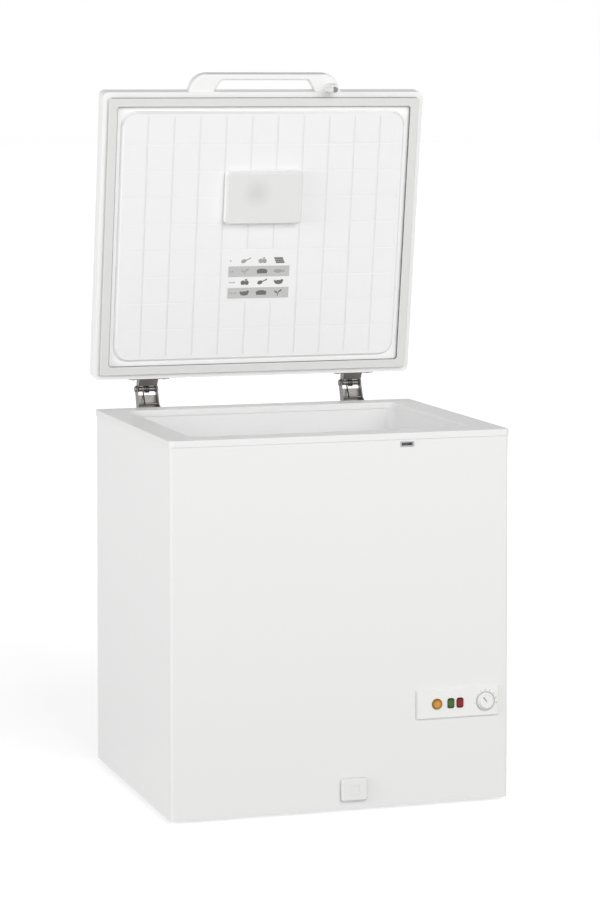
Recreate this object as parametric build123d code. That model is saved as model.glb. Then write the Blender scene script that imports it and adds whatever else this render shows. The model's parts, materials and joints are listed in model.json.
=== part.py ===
from build123d import *
from math import acos, atan2, cos, hypot, pi, radians, sin, sqrt
import os

os.makedirs("parts", exist_ok=True)

# Chest freezer with its lid raised. Millimetres, +Z up, +Y to the rear, floor at Z = 0.
# X = 0 is the middle of the width, Y = 0 the middle of the depth with the lid raised.

# Cabinet
cabinet_width = 752.0
cabinet_depth = 640.0
cabinet_height = 797.0
foot_height = 8.0
foot_radius = 22.0
foot_inset = 70.0
foot_stem_radius = 5.0
foot_stem_length = 12.0
sheet = 1.0
base_sheet = 1.2
shell_corner = 8.0
rear_flange = 16.0
top_flange = 18.0

# Tub and insulation
wall_thickness = 58.0
floor_thickness = 72.0
tub_corner = 26.0
floor_round = 16.0
liner_sheet = 1.0
tub_flange = 20.0
compartment_width = 225.0
compartment_height = 255.0
step_insulation = 52.0

# Top frame
frame_plate = 3.0
frame_overhang = 2.0
frame_gap = 0.2
frame_skirt = 14.0
frame_lip = 2.0
frame_lip_gap = 0.3
frame_lip_depth = 14.0
frame_bevel = 1.2

# Refrigerant coils
coil_gap = 0.3
evaporator_radius = 4.0
evaporator_loops = 4
evaporator_low = 40.0
evaporator_high = 130.0
condenser_radius = 2.5
condenser_passes = 4
condenser_bend = 30.0
condenser_pitch = 90.0
condenser_low = 100.0
condenser_rear_inset = 60.0
coil_margin = 30.0

# Compressor
pot_radius = 74.0
pot_seam = 80.0
pot_height = 150.0
pot_dome = 30.0
pot_shoulder = 9.0
pot_flange = 5.0
pot_flange_height = 4.0
compressor_from_back = 190.0
compressor_shift = 8.0
foot_plate_length = 180.0
foot_plate_width = 130.0
foot_plate_sheet = 3.0
foot_plate_corner = 14.0
grommet_radius = 12.0
grommet_height = 12.0
grommet_neck = 7.0
grommet_cap = 4.0
stud_radius = 3.0
nut_radius = 5.5
nut_height = 5.0
stud_tip = 3.0
fit_gap = 0.2
terminal_width = 56.0
terminal_height = 52.0
terminal_depth = 8.0
relay_depth = 34.0
relay_bevel = 4.0
stub_radius = 5.0
stub_length = 14.0
suction_radius = 4.0
discharge_radius = 3.0
suction_height = 110.0
discharge_height = 45.0
line_bend = 16.0
line_reach = 18.0
drier_radius = 9.5
drier_length = 70.0
drier_neck = 2.5
drier_from_front = 220.0
drier_height = 90.0
capillary_radius = 1.2
capillary_loop = 26.0
capillary_turns = 2
capillary_pitch = 4.5

# Vents and covers
vent_width = 190.0
vent_height = 130.0
vent_from_back = 120.0
vent_bottom = 60.0
vent_border = 12.0
vent_proud = 3.0
vent_depth = 9.0
vent_slats = 9
vent_slat = 2.4
vent_slat_tilt = 35.0
service_width = 170.0
service_height = 170.0
service_bottom = 60.0
service_overlap = 12.0
service_slots = 7
service_slot_width = 110.0
service_slot_height = 7.0
gland_radius = 8.0
gland_flange = 12.0
gland_length = 14.0
gland_bore = 4.0
gland_height = 26.0
gland_from_side = 30.0

# Control panel
panel_width = 190.0
panel_height = 65.0
panel_right_margin = 21.5
panel_centre_height = 212.2
panel_proud = 5.0
panel_corner = 5.0
panel_bevel = 3.0
panel_overlap = 7.0
panel_collar = 6.0
panel_wall = 2.0
panel_box_depth = 46.0
panel_fit = 0.5
button_at = -47.5
button_radius = 11.3
button_proud = 3.0
button_bevel = 1.2
button_travel = 2.5
button_flange = 1.4
button_flange_sheet = 2.0
button_stem = 3.0
switch_width = 27.0
switch_height = 31.0
switch_depth = 20.0
lamp_spacing = 20.7
green_lamp_at = -16.0
indicator_width = 16.0
indicator_height = 22.0
indicator_corner = 5.0
indicator_proud = 2.0
indicator_flange = 1.5
indicator_barrel = 7.0
indicator_barrel_length = 16.0
knob_at = 62.7
knob_radius = 20.0
knob_skirt = 3.0
knob_bevel = 1.2
knob_grip_radius = 15.5
knob_height = 12.0
knob_gap = 0.5
knob_recess = 1.5
knob_recess_gap = 1.5
knob_pointer_width = 2.6
knob_pointer_depth = 1.2
knob_rest_angle = 38.0
shaft_radius = 3.0
running_gap = 0.05
thermostat_width = 38.0
thermostat_height = 36.0
thermostat_depth = 22.0
thermostat_neck = 6.5
thermostat_neck_length = 7.0

# Drain
drain_at = 26.0
drain_height = 41.0
drain_plate_width = 54.0
drain_plate_height = 44.0
drain_plate_proud = 3.0
drain_plate_bevel = 1.6
drain_cap_width = 58.0
drain_cap_height = 48.0
drain_cap_proud = 7.0
drain_cap_bevel = 3.2
drain_corner = 5.0
drain_cap_gap = 0.4
drain_grip = 20.0
drain_grip_depth = 1.5
drain_pipe_radius = 8.0
drain_bore = 6.0
drain_collar_radius = 11.0
drain_collar_length = 16.0
drain_stem_length = 10.0
drain_stem_gap = 0.4
drain_bend = 12.0
drain_from_tub_front = 70.0
sump_radius = 24.0
sump_depth = 14.0
plug_head_radius = 20.0
plug_head_height = 5.0
plug_bevel = 1.5
plug_knob_radius = 6.0
plug_knob_height = 6.0
plug_stem_length = 4.5

# Lid, sizes with the lid closed
lid_front_overhang = 8.0
lid_rear_overhang = 14.0
lid_side_overhang = 2.0
lid_thickness = 48.0
lid_corner = 12.0
lid_round = 10.0
lid_skin = 1.2
lid_flange = 18.0
seal_height = 11.0
gasket_outer_inset = 12.0
gasket_inner_inset = 32.0
gasket_lip_height = 5.0
gasket_bellows_outer = 15.0
gasket_bellows_inner = 26.5
gasket_foot_gap = 0.5
gasket_foot_height = 6.0
gasket_clear = 0.5
gasket_bevel = 1.5
lid_liner_inset = 26.0
lid_liner_drop = 2.0
lid_liner_sheet = 2.4
field_inset = 42.0
field_corner = 34.0
field_slope = 6.0
field_drop = 7.0
grid_pitch = 61.0
grid_columns = 11
grid_rows = 9
grid_groove = 3.6
grid_depth = 0.9
grid_end_margin = 6.0
lamp_first_row = 2
label_first_row = 5
block_columns = 3
block_rows = 2

# Lamp in the lid
diffuser_depth = 20.0
diffuser_wall = 2.0
diffuser_corner = 9.0
diffuser_round = 4.0
diffuser_margin = 1.0
lamp_base_sheet = 2.5
lamp_base_gap = 2.5
holder_length = 26.0
holder_radius = 7.5
bulb_radius = 6.5
bulb_neck = 4.5
bulb_length = 46.0
holder_offset = -2.0
holder_rise = 13.0

# Handle and lock
handle_width = 360.0
handle_flare = 15.0
handle_leg = 60.0
handle_reach = 41.0
handle_corner = 40.0
grip_flare = 17.0
grip_bar = 15.0
grip_corner = 6.0
handle_above_flange = 4.0
handle_thickness = 26.0
handle_round = 4.5
handle_screw_inset = 14.0
lock_from_end = 27.0
lock_from_lid = 11.0
lock_radius = 6.0
lock_tower = 19.0
lock_tower_drop = 21.0
lock_tower_round = 3.0
lock_face_proud = 1.5
lock_key_length = 8.0
lock_key_width = 2.0
lock_key_depth = 3.0
tongue_length = 27.0
tongue_width = 8.0
tongue_thickness = 5.0
tongue_clear = 1.0
keeper_width = 31.4
keeper_shift = 8.0
keeper_height = 10.0
keeper_proud = 1.2
keeper_border = 1.8
keeper_wall = 1.4
keeper_depth = 20.0
keeper_corner = 2.0

# Hinges
lid_open_angle = 81.0
pivot_behind = 44.75
pivot_above = 37.6
hinge_from_side = 130.0
hinge_width = 50.0
hinge_sheet = 2.5
hinge_side_gap = 0.5
hinge_eye = 8.0
hinge_pin_radius = 4.0
pin_sleeve_radius = 6.0
pin_sleeve_gap = 0.3
pin_head_radius = 6.5
pin_head_height = 2.5
pin_clip_sheet = 1.5
bracket_low = 80.0
bracket_high = 18.0
bracket_toe = 5.0
bracket_heel = 16.0
bracket_waist = (20.0, 4.0)
bracket_screw_inset = 14.0
back_web_low = 14.0
back_web_high = 23.0
leaf_low = 3.0
leaf_height = 30.0
leaf_wing = 23.0
leaf_web_reach = 20.0
stop_bar_behind = 28.0
stop_bar_above = 5.0
stop_bar_radius = 2.5
spring_wire = 3.0
spring_radius = 8.0
spring_pitch = 3.8
spring_turns = 3
spring_leg_past_bar = 6.0
spring_seat_gap = 0.3
spring_lid_leg_height = 24.0

# Screws
screw_radius = 2.0
screw_head_radius = 4.2
screw_head_height = 2.4
screw_head_bevel = 0.6
screw_length = 14.0
screw_gap = 0.15

# Levels and faces worked out from the sizes above
base_z = foot_height
rim_z = foot_height + cabinet_height
shell_top = rim_z - frame_plate
pan_top = base_z + base_sheet
tub_floor = base_z + floor_thickness
compartment_top = pan_top + compartment_height
step_top = compartment_top + sheet + step_insulation
compartment_left = cabinet_width / 2 - sheet - compartment_width
step_x = compartment_left - sheet - step_insulation
flange_z = rim_z + seal_height
lid_top = flange_z + lid_thickness
open_cos = cos(radians(lid_open_angle))
open_sin = sin(radians(lid_open_angle))
front_reach = panel_proud + knob_height + knob_gap - knob_recess
rear_reach = (
    pivot_behind
    + (lid_rear_overhang - pivot_behind) * open_cos
    + (seal_height + lid_thickness - pivot_above) * open_sin
)
front_y = front_reach - (front_reach + cabinet_depth + rear_reach) / 2
back_y = front_y + cabinet_depth
mid_y = (front_y + back_y) / 2
shell_depth = cabinet_depth - sheet
shell_mid_y = front_y + shell_depth / 2
inner_back = back_y - 2 * sheet
tub_width = cabinet_width - 2 * wall_thickness
tub_depth = cabinet_depth - 2 * wall_thickness
lid_width = cabinet_width + 2 * lid_side_overhang
lid_depth = cabinet_depth + lid_front_overhang + lid_rear_overhang
lid_front_y = front_y - lid_front_overhang
lid_back_y = back_y + lid_rear_overhang
lid_mid_y = (lid_front_y + lid_back_y) / 2
lid_liner_z = flange_z - lid_liner_drop
field_z = lid_liner_z - field_drop
pivot_y = back_y + pivot_behind
pivot_z = rim_z + pivot_above
hinge_at = cabinet_width / 2 - hinge_from_side
hinge_axis = Axis((0, pivot_y, pivot_z), (-1, 0, 0))
panel_x = cabinet_width / 2 - panel_right_margin - panel_width / 2
panel_z = base_z + panel_centre_height
drain_z = base_z + drain_height
drain_y = front_y + wall_thickness + drain_from_tub_front
sump_bottom = tub_floor - sump_depth - liner_sheet
tongue_z = rim_z - lock_tower_drop - tongue_clear - tongue_thickness / 2
lock_at = handle_width / 2 - lock_from_end
lock_y = lid_front_y - lock_from_lid
handle_low = flange_z + handle_above_flange


def block(x_range, y_range, z_range):
    """Box between low and high faces on each axis."""
    ranges = (x_range, y_range, z_range)
    size = [high - low for low, high in ranges]
    centre = [(high + low) / 2 for low, high in ranges]
    return Pos(*centre) * Box(*size)


def prism(outline, low, high):
    """Flat outline in plan, raised between two heights."""
    return extrude(Pos(0, 0, low) * outline, high - low)


def front_plane(x, z, y=None):
    """Plane on the cabinet's front face: right is +X, up is +Z, out is -Y."""
    return Plane((x, front_y if y is None else y, z), x_dir=(1, 0, 0), z_dir=(0, -1, 0))


def tube(path, radius, sides=0):
    """Bar swept along a path, round or with flat sides."""
    section = RegularPolygon(radius, sides) if sides else Circle(radius)
    start = Plane(path @ 0, z_dir=path % 0)
    return sweep(start * section, path)


def opened(shape):
    """Lid piece turned from its closed place to the raised one."""
    return shape.rotate(hinge_axis, lid_open_angle)


def save(name, *solids):
    """Writes one piece, or a group of like pieces, as a node."""
    whole = Compound(children=list(solids)) if len(solids) > 1 else solids[0]
    export_step(whole, f"parts/{name}.step")


def screw():
    """Hexagon-head screw, head above Z = 0 and shank below."""
    head = extrude(RegularPolygon(screw_head_radius, 6), screw_head_height)
    head = chamfer(head.edges().group_by(Axis.Z)[-1], screw_head_bevel)
    return head + extrude(RegularPolygon(screw_radius, 8), -screw_length)


def screw_holes(places):
    """Clearance bores along the shanks of screws at the given places."""
    bore = extrude(RegularPolygon(screw_radius + screw_gap, 8), screw_length, both=True)
    return [place * bore for place in places]


def cut(shape, tools):
    """Shape with every tool taken away."""
    for tool in tools:
        shape = shape - tool
    return shape


# Cabinet outlines, seen from above

def shell_outline(inset):
    size = (cabinet_width - 2 * inset, shell_depth - 2 * inset)
    return Pos(0, shell_mid_y) * RectangleRounded(*size, shell_corner - inset)


def frame_outline(grow):
    size = (cabinet_width + 2 * grow, cabinet_depth + 2 * grow)
    return Pos(0, mid_y) * RectangleRounded(*size, shell_corner + grow)


def tub_outline(grow):
    size = (tub_width + 2 * grow, tub_depth + 2 * grow)
    return Pos(0, mid_y) * RectangleRounded(*size, tub_corner + grow)


def tub_form(grow, top):
    """Room inside the tub, with the step on its right, grown outwards by an amount."""
    upper = prism(tub_outline(grow), step_top - grow, top)
    low_width = step_x + tub_width / 2
    low_mid = (step_x - tub_width / 2) / 2
    low_size = (low_width + 2 * grow, tub_depth + 2 * grow)
    low_outline = Pos(low_mid, mid_y) * RectangleRounded(*low_size, tub_corner + grow)
    lower = prism(low_outline, tub_floor - grow, step_top + tub_corner)
    lower = fillet(lower.edges().group_by(Axis.Z)[0], floor_round + grow)
    return upper + lower


# Places that several pieces share

def hinge_web_screws():
    """Screws of both cabinet brackets, heads to the rear."""
    rows = (rim_z - bracket_low + bracket_screw_inset, rim_z - bracket_high - bracket_screw_inset)
    side = hinge_width / 4
    seat = back_y + hinge_sheet
    return [
        Pos(sign * hinge_at + x, seat, z) * Rot(-90, 0, 0)
        for sign in (-1, 1)
        for x in (-side, side)
        for z in rows
    ]


def hinge_wing_screws():
    """Screws of both lid leaves, heads to the rear, with the lid closed."""
    rows = (leaf_low + leaf_height * 0.25, leaf_low + leaf_height * 0.75)
    side = hinge_width / 2 + leaf_wing / 2
    seat = lid_back_y + hinge_sheet
    return [
        Pos(sign * hinge_at + x, seat, flange_z + z) * Rot(-90, 0, 0)
        for sign in (-1, 1)
        for x in (-side, side)
        for z in rows
    ]


def handle_screw_places():
    """Screws from inside the lid's front wall into the handle's legs, lid closed."""
    seat = lid_front_y + lid_skin
    height = handle_low + handle_thickness / 2
    outer = handle_width / 2 - handle_screw_inset
    inner = handle_width / 2 - handle_leg + handle_screw_inset
    return [Pos(x, seat, height) * Rot(-90, 0, 0) for x in (-outer, -inner, inner, outer)]


def service_screw_places():
    """Screws round the rear service cover."""
    x_mid = (compartment_left + cabinet_width / 2 - sheet) / 2
    half = service_width / 2 + service_overlap / 2
    z_mid = base_z + service_bottom + service_height / 2
    rise = service_height / 2 + service_overlap / 2
    return [
        Pos(x_mid + x * half, back_y + sheet, z_mid + z * rise) * Rot(-90, 0, 0)
        for x in (-1, 1)
        for z in (-1, 0, 1)
    ]


def foot_places():
    x = cabinet_width / 2 - foot_inset
    y = shell_depth / 2 - foot_inset
    return [Pos(sx * x, shell_mid_y + sy * y, 0) for sx in (-1, 1) for sy in (-1, 1)]


def compressor_place():
    x = (compartment_left + cabinet_width / 2 - sheet) / 2 + compressor_shift
    return Pos(x, back_y - compressor_from_back, pan_top)


def grommet_places():
    x = foot_plate_width / 2 - foot_plate_corner
    y = foot_plate_length / 2 - foot_plate_corner
    return [compressor_place() * Pos(sx * x, sy * y, 0) for sx in (-1, 1) for sy in (-1, 1)]


def gland_place():
    x = compartment_left + gland_from_side
    return Pos(x, back_y, base_z + gland_height) * Rot(-90, 0, 0)


# Cabinet pieces

def panel_cutout():
    width = panel_width - 2 * panel_overlap
    height = panel_height - 2 * panel_overlap
    return extrude(front_plane(panel_x, panel_z) * Rectangle(width, height), 2 * sheet, both=True)


def keeper_cup(grow):
    """Room behind the front sheet that the lock keeper's cup fills."""
    width = keeper_width - 2 * keeper_border + 2 * grow
    height = keeper_height - 2 * keeper_border + 2 * keeper_wall + 2 * grow
    mouth = front_plane(lock_at - keeper_shift, tongue_z) * Rectangle(width, height)
    return extrude(mouth, -keeper_depth - grow) + extrude(mouth, 2 * sheet)


def make_outer_shell():
    wrap = prism(shell_outline(0) - shell_outline(sheet), base_z, shell_top)
    rim = Pos(0, shell_mid_y) * Rectangle(
        cabinet_width - 2 * top_flange, shell_depth - 2 * top_flange
    )
    wrap = wrap + prism(shell_outline(0) - rim, shell_top - sheet, shell_top)
    half = cabinet_width / 2 - rear_flange
    wrap = wrap - block((-half, half), (inner_back - sheet, back_y), (base_z, shell_top - sheet))
    drain = front_plane(drain_at, drain_z) * Circle(drain_collar_radius + fit_gap)
    vent = vent_opening(fit_gap)
    tools = [panel_cutout(), keeper_cup(fit_gap), extrude(drain, 2 * sheet, both=True), vent]
    return cut(wrap, tools)


def make_rear_panel():
    half = cabinet_width / 2 - shell_corner
    panel = block((-half, half), (back_y - sheet, back_y), (base_z, shell_top))
    x_mid = (compartment_left + cabinet_width / 2 - sheet) / 2
    x_range = (x_mid - service_width / 2, x_mid + service_width / 2)
    bottom = base_z + service_bottom
    service = block(x_range, (inner_back, back_y + sheet), (bottom, bottom + service_height))
    gland = gland_place() * Cylinder(gland_radius + fit_gap, 4 * sheet)
    tools = [service, gland]
    tools += screw_holes(hinge_web_screws()) + screw_holes(service_screw_places())
    return cut(panel, tools)


def make_base_pan():
    pan = prism(shell_outline(sheet), base_z, pan_top)
    stems = [place * Cylinder(foot_stem_radius + fit_gap, 4 * pan_top) for place in foot_places()]
    studs = [place * Cylinder(stud_radius + fit_gap, 4 * base_sheet) for place in grommet_places()]
    return cut(pan, stems + studs)


def make_compartment_wall():
    x_right = cabinet_width / 2 - sheet
    y_range = (front_y + sheet, inner_back)
    left = compartment_left - sheet
    wall = block((left, compartment_left), y_range, (pan_top, compartment_top + sheet))
    ceiling = block((left, x_right), y_range, (compartment_top, compartment_top + sheet))
    return (wall + ceiling) & prism(shell_outline(sheet), pan_top, rim_z)


def make_cabinet_foam():
    foam = prism(shell_outline(sheet), pan_top, shell_top - max(sheet, liner_sheet))
    x_right = cabinet_width / 2
    compartment = block(
        (compartment_left - sheet, x_right),
        (front_y, back_y),
        (base_z, compartment_top + sheet),
    )
    cup = Pos(drain_at, drain_y, tub_floor) * Cylinder(
        sump_radius + liner_sheet, 2 * (sump_depth + liner_sheet)
    )
    space = liner_sheet + 2 * (evaporator_radius + coil_gap)
    low = step_top + evaporator_low - coil_margin
    high = rim_z - evaporator_high + coil_margin
    evaporator_room = prism(tub_outline(space), low, high)
    reach = sheet + 2 * (condenser_radius + coil_gap)
    low = step_top + condenser_low - coil_margin
    high = step_top + condenser_low + (condenser_passes - 1) * condenser_pitch + coil_margin
    y_range = (front_y, inner_back - condenser_rear_inset + coil_margin)
    half = cabinet_width / 2
    outer = block((-half, half), y_range, (low, high))
    core_size = (cabinet_width - 2 * reach, 2 * (cabinet_depth - reach))
    core = prism(Pos(0, back_y) * RectangleRounded(*core_size, condenser_bend), low, high)
    channel = tube(drain_path(), drain_pipe_radius + coil_gap)
    collar = front_plane(drain_at, drain_z) * Circle(drain_collar_radius + coil_gap)
    collar_room = extrude(collar, -drain_collar_length - sheet)
    stems = [
        place * Cylinder(foot_stem_radius + fit_gap, 4 * (foot_stem_length + foot_height))
        for place in foot_places()
    ]
    tools = [compartment, tub_form(liner_sheet, rim_z), cup, evaporator_room, outer - core]
    tools += [channel, collar_room, keeper_cup(fit_gap)] + stems
    return cut(foam, tools + screw_holes(hinge_web_screws()))


def make_inner_liner():
    tub = tub_form(liner_sheet, shell_top)
    ledge = prism(tub_outline(tub_flange), shell_top - liner_sheet, shell_top)
    place = Pos(drain_at, drain_y, tub_floor)
    depth = sump_depth + liner_sheet
    cup = place * Pos(0, 0, -depth / 2) * Cylinder(sump_radius + liner_sheet, depth)
    sump = place * Cylinder(sump_radius, 2 * sump_depth)
    outlet = place * Cylinder(drain_bore, 4 * depth)
    return tub + ledge + cup - tub_form(0, rim_z) - sump - outlet


def make_top_frame():
    mouth = tub_outline(-frame_lip_gap - frame_lip)
    plate = prism(frame_outline(frame_overhang) - mouth, shell_top, rim_z)
    skirt = prism(
        frame_outline(frame_overhang) - frame_outline(frame_gap), rim_z - frame_skirt, shell_top
    )
    lip = prism(tub_outline(-frame_lip_gap) - mouth, rim_z - frame_lip_depth, shell_top)
    frame = plate + skirt + lip
    return chamfer(frame.edges().group_by(Axis.Z)[-1], frame_bevel)


def make_feet():
    pad = Pos(0, 0, foot_height / 2) * Cylinder(foot_radius, foot_height)
    pad = chamfer(pad.edges().group_by(Axis.Z)[0], foot_height * 0.2)
    stem_height = foot_height + foot_stem_length
    foot = pad + Pos(0, 0, stem_height / 2) * Cylinder(foot_stem_radius, stem_height)
    return [place * foot for place in foot_places()]


# Refrigeration

def make_evaporator():
    offset = liner_sheet + coil_gap + evaporator_radius
    x = tub_width / 2 + offset
    y = tub_depth / 2 + offset
    low = step_top + evaporator_low
    pitch = (rim_z - evaporator_high - low) / evaporator_loops
    points = [(0, mid_y + y, low)]
    for loop in range(evaporator_loops):
        z = low + loop * pitch
        points += [(x, mid_y + y, z), (x, mid_y - y, z), (-x, mid_y - y, z), (-x, mid_y + y, z)]
    points.append((0, mid_y + y, low + (evaporator_loops - 0.5) * pitch))
    path = FilletPolyline(*points, radius=tub_corner + offset)
    return tube(path, evaporator_radius, sides=6)


def make_condenser():
    offset = sheet + coil_gap + condenser_radius
    x = cabinet_width / 2 - offset
    y_front = front_y + offset
    y_rear = inner_back - condenser_rear_inset
    points = []
    for row in range(condenser_passes):
        z = step_top + condenser_low + row * condenser_pitch
        side = x if row % 2 == 0 else -x
        points += [(side, y_rear, z), (side, y_front, z), (-side, y_front, z), (-side, y_rear, z)]
    path = FilletPolyline(*points, radius=condenser_bend)
    return tube(path, condenser_radius, sides=6)


def make_compressor():
    outline = Polyline(
        (0, 0),
        (pot_radius - pot_dome, 0),
        (pot_radius - pot_shoulder, pot_shoulder),
        (pot_radius, pot_dome),
        (pot_radius, pot_seam),
        (pot_radius + pot_flange, pot_seam),
        (pot_radius + pot_flange, pot_seam + pot_flange_height),
        (pot_radius, pot_seam + pot_flange_height),
        (pot_radius, pot_height - pot_dome),
        (pot_radius - pot_shoulder, pot_height - pot_shoulder),
        (pot_radius - pot_dome, pot_height),
        (0, pot_height),
        close=True,
    )
    pot = revolve(make_face(Plane.XZ * outline), Axis.Z)
    plate = extrude(
        RectangleRounded(foot_plate_width, foot_plate_length, foot_plate_corner), foot_plate_sheet
    )
    bores = Cylinder(grommet_neck + fit_gap, 4 * foot_plate_sheet)
    for place in grommet_places():
        plate = plate - Pos(*(place.position - compressor_place().position)) * bores
    half = terminal_width / 2
    seat = block(
        (-half, half),
        (-pot_radius - terminal_depth, 0),
        (pot_seam - terminal_height, pot_seam - pot_flange_height),
    )
    reach = pot_radius + stub_length
    suction = Pos(-reach / 2, 0, suction_height) * Rot(0, 90, 0) * Cylinder(stub_radius, reach)
    discharge = Pos(0, reach / 2, discharge_height) * Rot(90, 0, 0) * Cylinder(stub_radius, reach)
    whole = pot + plate + seat + suction + discharge
    return compressor_place() * Pos(0, 0, grommet_height) * whole


def make_grommets():
    top = grommet_height + foot_plate_sheet + grommet_cap
    spool = extrude(RegularPolygon(grommet_radius, 12), grommet_height)
    spool = spool + extrude(RegularPolygon(grommet_neck, 12), top)
    bore = extrude(RegularPolygon(stud_radius + fit_gap, 8), top)
    return [place * (spool - bore) for place in grommet_places()]


def make_studs():
    stack = grommet_height + foot_plate_sheet + grommet_cap
    length = base_sheet + stack + nut_height + stud_tip
    stud = Pos(0, 0, -base_sheet) * extrude(RegularPolygon(stud_radius, 8), length)
    nut = Pos(0, 0, stack) * extrude(RegularPolygon(nut_radius, 6), nut_height)
    return [place * (stud + nut) for place in grommet_places()]


def make_relay_cover():
    half = terminal_width / 2
    y_back = -pot_radius - terminal_depth
    low = pot_seam - terminal_height
    cover = block((-half, half), (y_back - relay_depth, y_back), (low, pot_seam - pot_flange_height))
    cover = chamfer(cover.edges().group_by(Axis.Y)[0], relay_bevel)
    return compressor_place() * Pos(0, 0, grommet_height) * cover


def make_suction_line():
    start = (compressor_place() * Pos(0, 0, grommet_height)).position
    x = start.X - pot_radius - stub_length
    z = start.Z + suction_height
    points = [(x, start.Y, z), (x - line_reach, start.Y, z), (x - line_reach, start.Y, compartment_top)]
    return tube(FilletPolyline(*points, radius=line_bend), suction_radius, sides=8)


def make_discharge_line():
    start = (compressor_place() * Pos(0, 0, grommet_height)).position
    y = start.Y + pot_radius + stub_length
    z = start.Z + discharge_height
    points = [(start.X, y, z), (start.X, y + line_reach, z), (start.X, y + line_reach, compartment_top)]
    return tube(FilletPolyline(*points, radius=line_bend), discharge_radius, sides=8)


def drier_place():
    x = compartment_left + 2 * capillary_loop
    return Pos(x, front_y + drier_from_front, pan_top + drier_height)


def make_filter_drier():
    neck = drier_radius * 0.8
    outline = Polyline(
        (0, -neck),
        (drier_neck, -neck),
        (drier_neck, 0),
        (drier_radius, neck),
        (drier_radius, drier_length - neck),
        (drier_neck, drier_length),
        (drier_neck, drier_length + neck),
        (0, drier_length + neck),
        close=True,
    )
    return drier_place() * revolve(make_face(Plane.XZ * outline), Axis.Z)


def biarc(start, start_dir, end, end_dir):
    """Two tangent arcs that leave one point and reach another along given directions."""
    chord = end - start
    both = start_dir + end_dir
    spread = 2 * (1 - start_dir.dot(end_dir))
    along = chord.dot(both)
    reach = (-along + sqrt(along**2 + spread * chord.dot(chord))) / spread
    middle = (start + start_dir * reach + end - end_dir * reach) * 0.5
    first = TangentArc(start, middle, tangent=start_dir)
    return [first, TangentArc(middle, end, tangent=first % 1)]


def winding(centre, axis, zero, radius, pitch, start, finish, lead_in, lead_out):
    """Coil of wire as half-turn arcs, with a straight lead along the tangent at each end."""
    side = axis.cross(zero)

    def at(angle):
        out = zero * cos(angle) + side * sin(angle)
        return centre + out * radius + axis * (pitch * (angle - start) / (2 * pi))

    def heading(angle):
        round_it = side * cos(angle) - zero * sin(angle)
        return (round_it * radius + axis * (pitch / (2 * pi))).normalized()

    halves = max(2, round((finish - start) / pi))
    angles = [start + (finish - start) * i / halves for i in range(halves + 1)]
    edges = [Line(at(start) - heading(start) * lead_in, at(start))]
    for a, b in zip(angles, angles[1:]):
        edges += biarc(at(a), heading(a), at(b), heading(b))
    edges.append(Line(at(finish), at(finish) + heading(finish) * lead_out))
    return Wire(edges)


def least_gap(path, wire, turns):
    """Smallest clear distance of a winding to itself, on points along its path."""
    count = 400
    points = [path @ (i / count) for i in range(count + 1)]
    skip = int(count / (turns + 1) * 0.6)
    pairs = ((i, j) for i in range(count + 1) for j in range(i + skip, count + 1))
    return min((points[i] - points[j]).length for i, j in pairs) - wire


def make_capillary():
    top = drier_place() * Pos(0, 0, drier_length + drier_radius * 0.8)
    lead_out = compartment_top - top.position.Z - capillary_loop
    path = winding(
        Vector(capillary_loop, 0, capillary_loop),
        Vector(0, 1, 0),
        Vector(-1, 0, 0),
        capillary_loop,
        capillary_pitch,
        0,
        2 * pi * capillary_turns,
        capillary_loop,
        lead_out,
    )
    print("capillary least gap", round(least_gap(path, 2 * capillary_radius, capillary_turns), 2))
    return top * tube(path, capillary_radius, sides=6)


# Vents and covers

def vent_opening(grow):
    """Hole in the right wall that the vent grille fills."""
    y_mid = back_y - vent_from_back - vent_width / 2
    half = vent_width / 2 - vent_border / 2 + grow
    low = base_z + vent_bottom + vent_border / 2 - grow
    high = base_z + vent_bottom + vent_height - vent_border / 2 + grow
    x = cabinet_width / 2
    return block((x - vent_depth, x + sheet), (y_mid - half, y_mid + half), (low, high))


def make_vent_grille():
    x = cabinet_width / 2
    y_mid = back_y - vent_from_back - vent_width / 2
    z_mid = base_z + vent_bottom + vent_height / 2
    face = Plane((x, y_mid, z_mid), x_dir=(0, 1, 0), z_dir=(1, 0, 0))
    border = face * RectangleRounded(vent_width, vent_height, vent_border / 2)
    inner_width = vent_width - 2 * vent_border
    inner_height = vent_height - 2 * vent_border
    window = face * Rectangle(inner_width, inner_height)
    collar = face * Rectangle(vent_width - vent_border, vent_height - vent_border)
    plate = extrude(border - window, vent_proud)
    plate = chamfer(plate.edges().group_by(Axis.X)[-1], vent_proud * 0.4)
    grille = plate + extrude(collar - window, -vent_depth)
    pitch = inner_height / vent_slats
    slat_length = (vent_depth + vent_proud) * 0.8
    for row in range(vent_slats):
        z = z_mid + (row - (vent_slats - 1) / 2) * pitch
        slat = Box(slat_length, inner_width, vent_slat)
        x_slat = x + (vent_proud - vent_depth) / 2
        grille = grille + Pos(x_slat, y_mid, z) * Rot(0, vent_slat_tilt, 0) * slat
    return grille


def make_service_cover():
    x_mid = (compartment_left + cabinet_width / 2 - sheet) / 2
    z_mid = base_z + service_bottom + service_height / 2
    face = Plane((x_mid, back_y, z_mid), x_dir=(-1, 0, 0), z_dir=(0, 1, 0))
    size = (service_width + 2 * service_overlap, service_height + 2 * service_overlap)
    cover = extrude(face * RectangleRounded(*size, service_overlap / 2), sheet)
    pitch = (service_height - 2 * service_overlap) / service_slots
    slot = SlotOverall(service_slot_width, service_slot_height)
    for row in range(service_slots):
        place = Pos(0, (row - (service_slots - 1) / 2) * pitch)
        cover = cover - extrude(face * place * slot, 2 * sheet, both=True)
    return cut(cover, screw_holes(service_screw_places()))


def make_gland():
    flange = Pos(0, 0, gland_flange * 0.15) * Cylinder(gland_flange, gland_flange * 0.3)
    body = Pos(0, 0, 0) * Cylinder(gland_radius, gland_length)
    return gland_place() * (flange + body - Cylinder(gland_bore, 2 * gland_length))


# Control panel

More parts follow.
